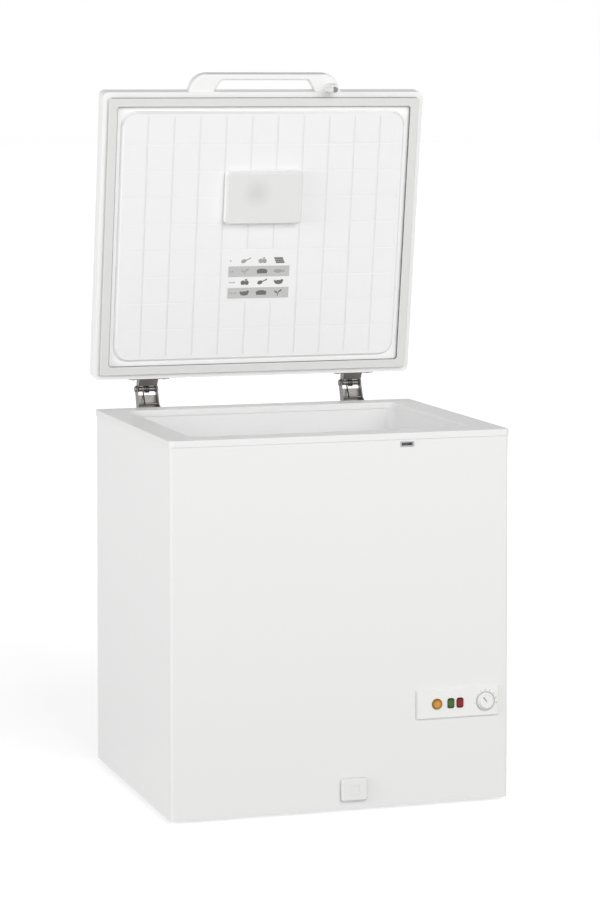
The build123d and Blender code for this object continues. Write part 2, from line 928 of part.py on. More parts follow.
def indicator_outline(grow):
    size = (indicator_width + 2 * grow, indicator_height + 2 * grow)
    return RectangleRounded(*size, indicator_corner + grow)


def panel_spot(offset):
    return front_plane(panel_x + offset, panel_z)


def make_panel_bezel():
    face = front_plane(panel_x, panel_z)
    plate = extrude(face * RectangleRounded(panel_width, panel_height, panel_corner), panel_proud)
    plate = chamfer(plate.edges().group_by(Axis.Y)[0], panel_bevel)
    width = panel_width - 2 * panel_overlap - 2 * panel_fit
    height = panel_height - 2 * panel_overlap - 2 * panel_fit
    rim = Rectangle(width, height) - Rectangle(width - 2 * panel_wall, height - 2 * panel_wall)
    plate = plate + extrude(face * rim, -panel_collar)
    button = extrude(panel_spot(button_at) * Circle(button_radius + panel_fit), panel_proud)
    lamps = [
        extrude(panel_spot(green_lamp_at + i * lamp_spacing) * indicator_outline(fit_gap), panel_proud)
        for i in range(2)
    ]
    dial = panel_spot(knob_at)
    recess = extrude(dial * Circle(knob_radius + knob_recess_gap), panel_proud)
    recess = recess - extrude(dial * Circle(knob_radius + 2 * knob_recess_gap), panel_proud - knob_recess)
    shaft = extrude(dial * Circle(shaft_radius + panel_fit), panel_proud)
    return cut(plate, [button, recess, shaft] + lamps)


def make_panel_box():
    face = front_plane(panel_x, panel_z)
    gap = 2 * (panel_overlap + 2 * panel_fit + panel_wall)
    width = panel_width - gap
    height = panel_height - gap
    shell = extrude(face * Rectangle(width, height), -panel_box_depth)
    room = Rectangle(width - 2 * panel_wall, height - 2 * panel_wall)
    return shell - extrude(face * room, panel_wall - panel_box_depth)


def make_button():
    spot = panel_spot(button_at)
    flange_gap = panel_fit
    cap = extrude(spot * Circle(button_radius), panel_proud + button_proud)
    cap = chamfer(cap.edges().group_by(Axis.Y)[0], button_bevel)
    flange = extrude(spot.offset(-flange_gap) * Circle(button_radius + button_flange), -button_flange_sheet)
    root = extrude(spot * Circle(button_radius), -flange_gap)
    stem_length = flange_gap + button_flange_sheet + button_travel + switch_depth / 2
    stem = extrude(spot * Circle(button_stem), -stem_length)
    return cap + flange + root + stem


def make_switch():
    spot = panel_spot(button_at)
    front = panel_fit + button_flange_sheet + button_travel + panel_fit
    outline = Rectangle(switch_width, switch_height)
    room = Circle(button_radius + button_flange + panel_fit)
    body = extrude(spot * outline, -front - switch_depth) - extrude(spot * room, -front)
    bore = Circle(button_stem + running_gap)
    return body - extrude(spot * bore, -front - switch_depth + panel_wall)


def make_indicator(offset):
    spot = panel_spot(offset)
    lens = extrude(spot * indicator_outline(0), panel_proud + indicator_proud)
    lens = chamfer(lens.edges().group_by(Axis.Y)[0], indicator_proud * 0.9)
    flange = extrude(spot * indicator_outline(indicator_flange), -panel_wall)
    barrel = extrude(spot * Circle(indicator_barrel), -indicator_barrel_length)
    return lens + flange + barrel


def make_knob():
    seat = panel_proud - knob_recess + knob_gap
    crown = knob_grip_radius - knob_bevel
    outline = Polyline(
        (0, 0),
        (knob_radius, 0),
        (knob_radius, knob_skirt - knob_bevel),
        (knob_radius - knob_bevel, knob_skirt),
        (knob_grip_radius, knob_skirt),
        (crown, knob_height - knob_bevel),
        (crown - knob_bevel, knob_height),
        (0, knob_height),
        close=True,
    )
    knob = revolve(make_face(Plane.XZ * outline), Axis.Z)
    line = Pos(0, crown / 2, knob_height) * Box(knob_pointer_width, crown, 2 * knob_pointer_depth)
    dial = panel_spot(knob_at).offset(seat)
    return dial.location * Rot(0, 0, knob_rest_angle) * (knob - line)


def make_shaft():
    spot = panel_spot(knob_at)
    length = panel_proud - knob_recess + knob_gap
    inside = thermostat_neck_length + thermostat_depth / 2
    return extrude(spot.offset(-inside) * Circle(shaft_radius), inside + length)


def make_thermostat():
    spot = panel_spot(knob_at)
    neck = extrude(spot * Circle(thermostat_neck), -thermostat_neck_length)
    box = spot.offset(-thermostat_neck_length) * Rectangle(thermostat_width, thermostat_height)
    body = neck + extrude(box, -thermostat_depth)
    depth = thermostat_neck_length + thermostat_depth / 2 + panel_fit
    return body - extrude(spot * Circle(shaft_radius + running_gap), -depth)


# Drain

def drain_path():
    points = [
        (drain_at, drain_y, sump_bottom),
        (drain_at, drain_y, drain_z),
        (drain_at, front_y + drain_collar_length, drain_z),
    ]
    return FilletPolyline(*points, radius=drain_bend)


def make_drain_pipe():
    bore = tube(drain_path(), drain_bore / cos(pi / 8), sides=8)
    return tube(drain_path(), drain_pipe_radius, sides=8) - bore


def make_drain_spout():
    spot = front_plane(drain_at, drain_z)
    size = (drain_plate_width, drain_plate_height)
    plate = extrude(spot * RectangleRounded(*size, drain_corner), drain_plate_proud)
    plate = chamfer(plate.edges().group_by(Axis.Y)[0], drain_plate_bevel)
    collar = extrude(spot * Circle(drain_collar_radius), -drain_collar_length)
    bore = extrude(spot * Circle(drain_bore), 2 * drain_collar_length, both=True)
    return plate + collar - bore


def make_drain_cap():
    seat = front_plane(drain_at, drain_z).offset(drain_plate_proud + drain_cap_gap)
    outline = RectangleRounded(drain_cap_width, drain_cap_height, drain_corner)
    cap = extrude(seat * outline, drain_cap_proud)
    cap = chamfer(cap.edges().group_by(Axis.Y)[0], drain_cap_bevel)
    front = seat.offset(drain_cap_proud)
    grip = Pos(0, drain_grip * 0.1) * RectangleRounded(drain_grip, drain_grip * 0.8, drain_grip_depth)
    cap = cap - extrude(front * grip, -drain_grip_depth)
    for row in (1, 2):
        rib = Pos(0, -drain_grip * 0.3 - row * drain_grip * 0.15) * Rectangle(drain_grip, drain_grip_depth)
        cap = cap - extrude(front * rib, -drain_grip_depth / 2)
    stem_length = drain_cap_gap + drain_plate_proud + drain_stem_length
    return cap + extrude(seat * Circle(drain_bore - drain_stem_gap), -stem_length)


def make_drain_plug():
    floor = Pos(drain_at, drain_y, sump_bottom + liner_sheet + drain_stem_gap)
    head = Pos(0, 0, plug_head_height / 2) * Cylinder(plug_head_radius, plug_head_height)
    head = chamfer(head.edges().group_by(Axis.Z)[-1], plug_bevel)
    knob = Pos(0, 0, plug_head_height + plug_knob_height / 2) * Cylinder(plug_knob_radius, plug_knob_height)
    stem = Pos(0, 0, -plug_stem_length / 2) * Cylinder(drain_bore - drain_stem_gap, plug_stem_length)
    return floor * (head + knob + stem)


# Lid pieces, in their closed places

def lid_outline(inset, corner):
    size = (lid_width - 2 * inset, lid_depth - 2 * inset)
    return Pos(0, lid_mid_y) * RectangleRounded(*size, corner)


def lid_form(inset, low, high):
    """Lid's outside grown inwards by an amount, with its rounded top edges."""
    form = prism(lid_outline(inset, lid_corner - inset), low, high)
    return fillet(form.edges().group_by(Axis.Z)[-1], lid_round - inset)


def lock_bore(radius):
    length = lid_thickness + seal_height + lock_tower_drop
    return Pos(lock_at, lock_y, rim_z) * Cylinder(radius, 2 * length)


def make_lid_skin():
    skin = lid_form(0, flange_z, lid_top) - lid_form(lid_skin, flange_z + lid_skin, lid_top - lid_skin)
    mouth = prism(lid_outline(lid_flange, field_slope), rim_z, flange_z + 2 * lid_skin)
    holes = screw_holes(hinge_wing_screws()) + screw_holes(handle_screw_places())
    return cut(skin, [mouth] + holes)


def field_form(inset, low):
    """Raised middle of the lid's liner, with sloping sides, down to a level."""
    top = Pos(0, 0, flange_z + lid_skin) * lid_outline(field_inset + inset, field_corner - inset)
    middle = Pos(0, 0, lid_liner_z) * lid_outline(field_inset + inset, field_corner - inset)
    slope = field_inset + field_slope + inset
    bottom = Pos(0, 0, low) * lid_outline(slope, field_corner - field_slope - inset)
    return loft([middle, bottom], ruled=True) + loft([top, middle], ruled=True)


def block_centre(first_row):
    """Middle of a blank block of the grid that starts at a row, counted from the lid's front."""
    row = first_row + block_rows / 2 - grid_rows / 2
    return lid_mid_y + row * grid_pitch


def grid_lines():
    """Strips of the pressed grid, with two blank blocks for the lamp and the chart."""
    inset = 2 * (field_inset + field_slope + grid_end_margin)
    strips = []
    for column in range(1, grid_columns):
        x = (column - grid_columns / 2) * grid_pitch
        strips.append(Pos(x, lid_mid_y) * Rectangle(grid_groove, lid_depth - inset))
    for row in range(1, grid_rows):
        y = lid_mid_y + (row - grid_rows / 2) * grid_pitch
        strips.append(Pos(0, y) * Rectangle(lid_width - inset, grid_groove))
    lines = Sketch() + strips
    width = block_columns * grid_pitch - grid_groove
    depth = block_rows * grid_pitch - grid_groove
    for first_row in (lamp_first_row, label_first_row):
        lines = lines - Pos(0, block_centre(first_row)) * Rectangle(width, depth)
    return lines


def make_lid_liner():
    border = prism(lid_outline(lid_liner_inset, field_slope), lid_liner_z, flange_z + lid_skin)
    panel = border + field_form(0, field_z)
    panel = panel - field_form(lid_liner_sheet, field_z + lid_liner_sheet)
    return panel - prism(grid_lines(), field_z, field_z + grid_depth)


def gasket_foot(grow):
    outer = lid_outline(lid_flange + gasket_foot_gap - grow, field_slope)
    inner = lid_outline(lid_liner_inset - gasket_foot_gap + grow, field_slope)
    return prism(outer - inner, lid_liner_z, flange_z + gasket_foot_height + grow)


def make_lid_foam():
    foam = prism(lid_outline(lid_skin, lid_corner - lid_skin), flange_z + lid_skin, lid_top - lid_skin)
    foam = chamfer(foam.edges().group_by(Axis.Z)[-1], lid_round - lid_skin)
    foam = foam + field_form(lid_liner_sheet, field_z + lid_liner_sheet)
    heads = [place * Cylinder(screw_head_radius + fit_gap, 2 * screw_head_height + fit_gap)
             for place in handle_screw_places()]
    return cut(foam, [gasket_foot(fit_gap)] + screw_holes(hinge_wing_screws()) + heads)


def make_gasket():
    low = rim_z + gasket_clear
    lip = prism(
        lid_outline(gasket_outer_inset, field_slope) - lid_outline(gasket_inner_inset, field_slope),
        low,
        low + gasket_lip_height,
    )
    lip = chamfer(lip.edges().group_by(Axis.Z)[0], gasket_bevel)
    bellows = prism(
        lid_outline(gasket_bellows_outer, field_slope) - lid_outline(gasket_bellows_inner, field_slope),
        low,
        lid_liner_z,
    )
    return lip + bellows + gasket_foot(0)


def handle_arch():
    """Handle in plan: an arch whose ends stand on the lid's front wall."""
    reach = -handle_reach
    half = handle_width / 2
    outer = make_face(
        Polyline(
            (-half, 0),
            (handle_flare - half, reach),
            (half - handle_flare, reach),
            (half, 0),
            close=True,
        )
    )
    outer = fillet(outer.vertices().group_by(Axis.Y)[0], handle_corner)
    depth = grip_bar - handle_reach
    half = half - handle_leg
    window = make_face(
        Polyline((-half, 0), (grip_flare - half, depth), (half - grip_flare, depth), (half, 0), close=True)
    )
    window = fillet(window.vertices().group_by(Axis.Y)[0], grip_corner)
    return Pos(0, lid_front_y) * (outer - window)


def make_handle():
    grip = prism(handle_arch(), handle_low, handle_low + handle_thickness)
    ends = grip.edges().group_by(Axis.Z)
    rims = [e for e in ends[0] + ends[-1] if e.center().Y < lid_front_y - 1]
    grip = fillet(rims, handle_round)
    return cut(grip, [lock_bore(lock_radius + running_gap)] + screw_holes(handle_screw_places()))


def make_lock_tower():
    bottom = rim_z - lock_tower_drop
    half = lock_tower / 2
    tower = block((lock_at - half, lock_at + half), (lock_y - half, lock_y + half), (bottom, handle_low))
    tower = fillet(tower.edges().filter_by(Axis.Z), lock_tower_round)
    return tower - lock_bore(lock_radius + running_gap)


def make_lock_barrel():
    bottom = rim_z - lock_tower_drop - tongue_clear
    top = handle_low + handle_thickness + lock_face_proud
    barrel = Pos(lock_at, lock_y, (top + bottom) / 2) * Cylinder(lock_radius, top - bottom)
    barrel = chamfer(barrel.edges().group_by(Axis.Z)[-1], lock_face_proud * 0.4)
    key = Pos(lock_at, lock_y, top) * Box(lock_key_length, lock_key_width, 2 * lock_key_depth)
    tip = SlotCenterToCenter(tongue_length - tongue_width / 2, tongue_width)
    tongue = prism(
        Pos(lock_at - (tongue_length - tongue_width / 2) / 2, lock_y) * tip,
        bottom - tongue_thickness,
        bottom,
    )
    hub = Pos(lock_at, lock_y, bottom - tongue_thickness / 2) * Cylinder(lock_radius, tongue_thickness)
    return barrel - key + tongue + hub


def make_keeper():
    face = front_plane(lock_at - keeper_shift, tongue_z)
    width = keeper_width - 2 * keeper_border
    height = keeper_height - 2 * keeper_border + 2 * keeper_wall
    outline = RectangleRounded(keeper_width, keeper_height + keeper_border, keeper_corner)
    frame = extrude(face * outline, keeper_proud)
    cup = extrude(face * Rectangle(width, height), -keeper_depth)
    slot = face * Rectangle(width - 2 * keeper_wall, height - 2 * keeper_wall)
    room = extrude(slot, keeper_wall - keeper_depth) + extrude(slot, 2 * keeper_proud)
    return frame + cup - room


def lamp_seat():
    return Pos(0, block_centre(lamp_first_row), field_z)


def diffuser_outline(inset):
    width = block_columns * grid_pitch - 2 * diffuser_margin - 2 * inset
    depth = block_rows * grid_pitch - 2 * diffuser_margin - 2 * inset
    return RectangleRounded(width, depth, diffuser_corner - inset)


def make_diffuser():
    outer = extrude(diffuser_outline(0), -diffuser_depth)
    outer = fillet(outer.edges().group_by(Axis.Z)[0], diffuser_round)
    room = extrude(diffuser_outline(diffuser_wall), diffuser_wall - diffuser_depth)
    return lamp_seat() * (outer - room)


def make_lamp_base():
    plate = extrude(diffuser_outline(diffuser_wall + lamp_base_gap), -lamp_base_sheet)
    height = diffuser_depth / 2
    post = block((0, holder_length / 2), (-holder_radius, holder_radius), (-height, 0))
    axis = Pos(holder_length / 2, 0, -height) * Rot(0, 90, 0)
    socket = axis * Cylinder(holder_radius, holder_length)
    bore = Pos(0, 0, -height) * Rot(0, 90, 0) * Cylinder(bulb_neck + fit_gap, holder_length)
    holder = plate + Pos(holder_offset, -holder_rise, 0) * (post + socket - bore)
    return lamp_seat() * holder


def make_bulb():
    height = diffuser_depth / 2
    tip = bulb_length + holder_length / 2
    outline = Polyline(
        (0, 0),
        (bulb_neck, 0),
        (bulb_neck, holder_length / 2),
        (bulb_radius, holder_length),
        (bulb_radius, tip - bulb_radius),
        (bulb_radius * 0.7, tip - bulb_radius * 0.3),
        (0, tip),
        close=True,
    )
    bulb = revolve(make_face(Plane.XZ * outline), Axis.Z)
    place = Pos(holder_offset + holder_length / 2 - fit_gap, -holder_rise, -height) * Rot(0, -90, 0)
    return lamp_seat() * place * bulb


# Hinges

def cross_plane(x):
    """Plane across the width at X = x: right is +Y, up is +Z."""
    return Plane((x, 0, 0), x_dir=(0, 1, 0), z_dir=(1, 0, 0))


def side_plate(outline, x):
    """Outline in the Y-Z plane made into a plate that starts at X = x."""
    return extrude(cross_plane(x) * outline, hinge_sheet)


def bracket_outline():
    points = [
        (0, -bracket_low),
        (0, -bracket_high),
        (bracket_toe, -bracket_high),
        (bracket_toe, -bracket_toe),
        bracket_waist,
        (pivot_behind - hinge_eye * 0.9, pivot_above + hinge_eye * 0.44),
        (pivot_behind + hinge_eye * 0.94, pivot_above - hinge_eye * 0.34),
        (bracket_heel, -bracket_low),
    ]
    plate = make_face(Polyline(*[(back_y + y, rim_z + z) for y, z in points], close=True))
    eye = Pos(pivot_y, pivot_z) * Circle(hinge_eye)
    return plate + eye - Pos(pivot_y, pivot_z) * Circle(hinge_pin_radius + running_gap)


def back_web_outline():
    """Web across the rear edges of a bracket's arms, between its screws and its spring."""
    heel_y, heel_z = bracket_heel, -bracket_low
    eye_y = pivot_behind + hinge_eye * 0.94
    eye_z = pivot_above - hinge_eye * 0.34
    lean = (eye_y - heel_y) / (eye_z - heel_z)
    edge = [(heel_y + lean * (z - heel_z), z) for z in (-back_web_low, back_web_high)]
    edge += [(y - hinge_sheet, z) for y, z in reversed(edge)]
    return make_face(Polyline(*[(back_y + y, rim_z + z) for y, z in edge], close=True))


def make_bracket(x):
    """Cabinet side of a hinge: a channel screwed to the rear panel, with two arms and a stop bar."""
    half = hinge_width / 2
    z_range = (rim_z - bracket_low, rim_z - bracket_high)
    web = block((x - half, x + half), (back_y, back_y + hinge_sheet), z_range)
    arms = side_plate(bracket_outline(), x - half)
    arms = arms + side_plate(bracket_outline(), x + half - hinge_sheet)
    back_web = extrude(cross_plane(x - half) * back_web_outline(), hinge_width)
    bar_place = Pos(x, back_y + stop_bar_behind, rim_z + stop_bar_above) * Rot(0, 90, 0)
    bar = bar_place * Cylinder(stop_bar_radius, hinge_width - hinge_sheet)
    return cut(web + arms + back_web + bar, screw_holes(hinge_web_screws()))


def leaf_corner():
    """Inner lower corner of a leaf's ears, where they leave its plate, lid closed."""
    return lid_back_y + hinge_sheet, flange_z + leaf_low + hinge_sheet


def leaf_outline():
    y, z = leaf_corner()
    points = [
        (y, z),
        (y, flange_z + leaf_low + leaf_height),
        (pivot_y, pivot_z + hinge_eye),
        (pivot_y + hinge_eye * 0.6, pivot_z - hinge_eye * 0.8),
    ]
    plate = make_face(Polyline(*points, close=True)) + Pos(pivot_y, pivot_z) * Circle(hinge_eye)
    return plate - Pos(pivot_y, pivot_z) * Circle(hinge_pin_radius + running_gap)


def leaf_web_outline():
    """Web that ties a leaf's ears together along their lower edge, lid closed."""
    y, z = leaf_corner()
    along_y = pivot_y + hinge_eye * 0.6 - y
    along_z = pivot_z - hinge_eye * 0.8 - z
    length = hypot(along_y, along_z)
    along_y, along_z = along_y / length, along_z / length
    end = (y + along_y * leaf_web_reach, z + along_z * leaf_web_reach)
    top = (end[0] - along_z * hinge_sheet, end[1] + along_y * hinge_sheet)
    return make_face(Polyline((y, z), end, top, (y, z + hinge_sheet / along_y), close=True))


def make_leaf(x):
    """Lid side of a hinge: a winged plate on the lid's rear wall, with two ears and a web."""
    half = hinge_width / 2 - hinge_sheet - hinge_side_gap
    wing = hinge_width / 2 + leaf_wing
    y_range = (lid_back_y, lid_back_y + hinge_sheet)
    z_range = (flange_z + leaf_low, flange_z + leaf_low + leaf_height)
    plate = block((x - wing, x + wing), y_range, z_range)
    ears = side_plate(leaf_outline(), x - half)
    ears = ears + side_plate(leaf_outline(), x + half - hinge_sheet)
    web = extrude(cross_plane(x - half) * leaf_web_outline(), 2 * half)
    return cut(plate + ears + web, screw_holes(hinge_wing_screws()))


def make_pin(x):
    """Hinge pin with a head, a clip, and a sleeve between the leaf's ears that carries the spring."""
    length = hinge_width + 2 * pin_clip_sheet
    axis = Pos(x, pivot_y, pivot_z) * Rot(0, 90, 0)
    shaft = axis * Cylinder(hinge_pin_radius, length)
    head_at = -(hinge_width + pin_head_height) / 2
    head = axis * Pos(0, 0, head_at) * Cylinder(pin_head_radius, pin_head_height)
    clip_at = (hinge_width + pin_clip_sheet) / 2
    clip = axis * Pos(0, 0, clip_at) * Cylinder(pin_head_radius, pin_clip_sheet)
    between_ears = hinge_width - 4 * hinge_sheet - 2 * hinge_side_gap
    sleeve = axis * Cylinder(pin_sleeve_radius, between_ears - 2 * pin_sleeve_gap)
    return shaft + head + clip + sleeve


def make_spring(x):
    """Torsion spring round the pin: one leg on the bracket's stop bar, one under the leaf's plate."""
    bar_y = stop_bar_behind - pivot_behind
    bar_z = stop_bar_above - pivot_above
    off_bar = spring_radius + stop_bar_radius + spring_wire / 2 + spring_seat_gap
    bar_reach = hypot(bar_y, bar_z)
    start = atan2(bar_z, bar_y) + acos(off_bar / bar_reach)
    lead_in = sqrt(bar_reach**2 - off_bar**2) + spring_leg_past_bar
    seat_y = lid_back_y + hinge_sheet + spring_wire / 2 + spring_seat_gap - pivot_y
    seat_z = rim_z + spring_lid_leg_height - pivot_z
    tip_y = seat_y * open_cos + seat_z * open_sin
    tip_z = seat_z * open_cos - seat_y * open_sin
    lead_out = sqrt(tip_y**2 + tip_z**2 - spring_radius**2)
    finish = atan2(tip_z, tip_y) - atan2(lead_out, spring_radius)
    while finish < start + 2 * pi * spring_turns:
        finish += 2 * pi
    length = spring_pitch * (finish - start) / (2 * pi)
    path = winding(
        Vector(-length / 2, 0, 0),
        Vector(1, 0, 0),
        Vector(0, 1, 0),
        spring_radius,
        spring_pitch,
        start,
        finish,
        lead_in,
        lead_out,
    )
    print("hinge spring least gap", round(least_gap(path, spring_wire, spring_turns), 2))
    return Pos(x, pivot_y, pivot_z) * tube(path, spring_wire / 2, sides=6)


save("outer_shell", make_outer_shell())
save("rear_panel", make_rear_panel())
save("base_pan", make_base_pan())
save("compartment_wall", make_compartment_wall())
save("cabinet_foam", make_cabinet_foam())
save("inner_liner", make_inner_liner())
save("top_frame", make_top_frame())
save("feet", *make_feet())
save("evaporator_coil", make_evaporator())
save("condenser_coil", make_condenser())
save("compressor", make_compressor())
save("compressor_grommets", *make_grommets())
save("compressor_studs", *make_studs())
save("relay_cover", make_relay_cover())
save("suction_line", make_suction_line())
save("discharge_line", make_discharge_line())
save("filter_drier", make_filter_drier())
save("capillary_tube", make_capillary())
save("side_vent_grille", make_vent_grille())
save("service_cover", make_service_cover())
save("service_cover_screws", *[place * screw() for place in service_screw_places()])
save("cord_gland", make_gland())
save("panel_bezel", make_panel_bezel())
save("panel_box", make_panel_box())
save("fast_freeze_button", make_button())
save("fast_freeze_switch", make_switch())
save("green_lamp", make_indicator(green_lamp_at))
save("red_lamp", make_indicator(green_lamp_at + lamp_spacing))
save("thermostat_knob", make_knob())
save("thermostat_shaft", make_shaft())
save("thermostat_body", make_thermostat())
save("drain_pipe", make_drain_pipe())
save("drain_spout", make_drain_spout())
save("drain_cap", make_drain_cap())
save("drain_plug", make_drain_plug())
save("lock_keeper", make_keeper())
save("lid_outer_skin", opened(make_lid_skin()))
save("lid_foam", opened(make_lid_foam()))
save("lid_inner_liner", opened(make_lid_liner()))
save("lid_gasket", opened(make_gasket()))
save("lid_handle", opened(make_handle()))
save("handle_screws", *[opened(place * screw()) for place in handle_screw_places()])
save("lock_tower", opened(make_lock_tower()))
save("lock_barrel", opened(make_lock_barrel()))
save("lamp_base", opened(make_lamp_base()))
save("lamp_bulb", opened(make_bulb()))
save("lamp_diffuser", opened(make_diffuser()))
save("hinge_bracket_screws", *[place * screw() for place in hinge_web_screws()])
save("hinge_leaf_screws", *[opened(place * screw()) for place in hinge_wing_screws()])
for side_name, hinge_x in (("left", -hinge_at), ("right", hinge_at)):
    save(f"hinge_bracket_{side_name}", make_bracket(hinge_x))
    save(f"hinge_leaf_{side_name}", opened(make_leaf(hinge_x)))
    save(f"hinge_pin_{side_name}", make_pin(hinge_x))
    save(f"hinge_spring_{side_name}", make_spring(hinge_x))
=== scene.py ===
import json
from math import cos, pi, radians, sin

import bmesh
import bpy
from mathutils import Matrix, Vector

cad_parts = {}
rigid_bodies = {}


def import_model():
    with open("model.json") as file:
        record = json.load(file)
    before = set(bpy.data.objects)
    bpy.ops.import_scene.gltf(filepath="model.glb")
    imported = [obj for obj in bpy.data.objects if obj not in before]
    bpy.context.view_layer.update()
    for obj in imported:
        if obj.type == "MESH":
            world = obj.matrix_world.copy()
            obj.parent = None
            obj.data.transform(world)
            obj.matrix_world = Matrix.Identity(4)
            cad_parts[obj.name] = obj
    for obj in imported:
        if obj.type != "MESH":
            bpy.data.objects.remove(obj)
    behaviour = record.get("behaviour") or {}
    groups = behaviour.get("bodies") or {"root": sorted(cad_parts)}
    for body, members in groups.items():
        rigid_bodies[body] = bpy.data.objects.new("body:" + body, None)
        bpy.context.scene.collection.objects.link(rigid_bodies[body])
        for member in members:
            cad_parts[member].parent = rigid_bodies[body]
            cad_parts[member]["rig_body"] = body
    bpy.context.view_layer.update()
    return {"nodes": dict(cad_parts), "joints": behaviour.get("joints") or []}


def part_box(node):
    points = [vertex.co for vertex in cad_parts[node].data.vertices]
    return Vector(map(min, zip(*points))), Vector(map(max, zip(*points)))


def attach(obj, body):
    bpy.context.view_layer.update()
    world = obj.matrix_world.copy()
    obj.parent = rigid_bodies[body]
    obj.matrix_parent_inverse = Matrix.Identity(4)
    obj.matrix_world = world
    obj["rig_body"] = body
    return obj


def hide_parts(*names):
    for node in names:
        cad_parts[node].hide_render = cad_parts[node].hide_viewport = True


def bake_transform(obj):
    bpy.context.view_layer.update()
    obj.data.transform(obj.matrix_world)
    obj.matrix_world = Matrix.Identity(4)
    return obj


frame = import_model()
scene = bpy.context.scene


# Outer shell: thin steel sheet folded round the front and both sides, sprayed with white enamel
# and baked. Its upright edges are bent to a small radius, and it carries all other cabinet pieces.

def uneven_surface():
    """Node group: slow mottling of colour and gloss, and a fine relief, over any finish."""
    group = bpy.data.node_groups.new("uneven surface", "ShaderNodeTree")
    sockets = group.interface
    sockets.new_socket("Colour", in_out="INPUT", socket_type="NodeSocketColor")
    for name in ("Roughness", "Scale", "Mottle", "Relief"):
        sockets.new_socket(name, in_out="INPUT", socket_type="NodeSocketFloat")
    sockets.new_socket("Colour", in_out="OUTPUT", socket_type="NodeSocketColor")
    sockets.new_socket("Roughness", in_out="OUTPUT", socket_type="NodeSocketFloat")
    sockets.new_socket("Normal", in_out="OUTPUT", socket_type="NodeSocketVector")
    nodes = group.nodes
    link = group.links.new
    given = nodes.new("NodeGroupInput")
    result = nodes.new("NodeGroupOutput")
    place = nodes.new("ShaderNodeTexCoord")
    noise = nodes.new("ShaderNodeTexNoise")
    noise.inputs["Detail"].default_value = 3.0
    link(place.outputs["Object"], noise.inputs["Vector"])
    link(given.outputs["Scale"], noise.inputs["Scale"])
    swing = nodes.new("ShaderNodeMath")
    swing.operation = "SUBTRACT"
    swing.inputs[1].default_value = 0.5
    link(noise.outputs["Fac"], swing.inputs[0])
    amount = nodes.new("ShaderNodeMath")
    amount.operation = "MULTIPLY"
    link(swing.outputs[0], amount.inputs[0])
    link(given.outputs["Mottle"], amount.inputs[1])
    shade = nodes.new("ShaderNodeHueSaturation")
    level = nodes.new("ShaderNodeMath")
    level.operation = "ADD"
    level.inputs[1].default_value = 1.0
    link(amount.outputs[0], level.inputs[0])
    link(level.outputs[0], shade.inputs["Value"])
    link(given.outputs["Colour"], shade.inputs["Color"])
    gloss = nodes.new("ShaderNodeMath")
    gloss.operation = "ADD"
    link(given.outputs["Roughness"], gloss.inputs[0])
    link(amount.outputs[0], gloss.inputs[1])
    bump = nodes.new("ShaderNodeBump")
    bump.inputs["Distance"].default_value = 0.0003
    link(given.outputs["Relief"], bump.inputs["Strength"])
    link(noise.outputs["Fac"], bump.inputs["Height"])
    link(shade.outputs["Color"], result.inputs["Colour"])
    link(gloss.outputs[0], result.inputs["Roughness"])
    link(bump.outputs["Normal"], result.inputs["Normal"])
    return group


uneven = uneven_surface()


def finish_of(name, colour, roughness, scale=40.0, mottle=0.03, relief=0.05, metal=0.0):
    """Material with the uneven surface: a colour, its gloss, and the size of its mottling."""
    material = bpy.data.materials.new(name)
    material.use_nodes = True
    tree = material.node_tree
    shader = tree.nodes["Principled BSDF"]
    shader.inputs["Metallic"].default_value = metal
    surface = tree.nodes.new("ShaderNodeGroup")
    surface.node_tree = uneven
    surface.inputs["Colour"].default_value = (*colour, 1.0)
    surface.inputs["Roughness"].default_value = roughness
    surface.inputs["Scale"].default_value = scale
    surface.inputs["Mottle"].default_value = mottle
    surface.inputs["Relief"].default_value = relief
    tree.links.new(surface.outputs["Colour"], shader.inputs["Base Color"])
    tree.links.new(surface.outputs["Roughness"], shader.inputs["Roughness"])
    tree.links.new(surface.outputs["Normal"], shader.inputs["Normal"])
    return material


def new_piece(name, form, body, material):
    """Object made from a bmesh at the origin, riding on a body if one is named."""
    mesh = bpy.data.meshes.new(name)
    form.to_mesh(mesh)
    form.free()
    mesh.materials.append(material)
    piece = bpy.data.objects.new(name, mesh)
    scene.collection.objects.link(piece)
    if body:
        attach(piece, body)
    return piece


def polished(node, material, ease=0.0, sharp=30.0, rides=True):
    """Copy of a solid with its curves shaded smooth and its edges eased by a width."""
    form = bmesh.new()
    form.from_mesh(frame["nodes"][node].data)
    bmesh.ops.remove_doubles(form, verts=form.verts, dist=1e-6)
    for face in form.faces:
        face.smooth = True
    for edge in form.edges:
        edge.smooth = edge.is_manifold and edge.calc_face_angle(pi) < radians(sharp)
    body = frame["nodes"][node]["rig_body"] if rides else None
    piece = new_piece(node + "_finished", form, body, material)
    if ease:
        bevel = piece.modifiers.new("eased edges", "BEVEL")
        bevel.width = ease
        bevel.segments = 2
        bevel.limit_method = "ANGLE"
        bevel.angle_limit = radians(sharp)
    weighted = piece.modifiers.new("flat faces stay flat", "WEIGHTED_NORMAL")
    weighted.keep_sharp = True
    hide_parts(node)
    return piece


def enamel_of(name, colour):
    """Sprayed and baked enamel: even, half glossy, with a very fine grain."""
    return finish_of(name, colour, 0.32, scale=260.0, mottle=0.012, relief=0.06)


polished("outer_shell", enamel_of("white enamel", (0.78, 0.78, 0.775)), ease=0.0006)


# Rear panel, base pan, compartment wall and service cover: bare zinc-coated sheet, screwed and
# clipped to the shell. The spangle of the zinc shows on the panel behind.

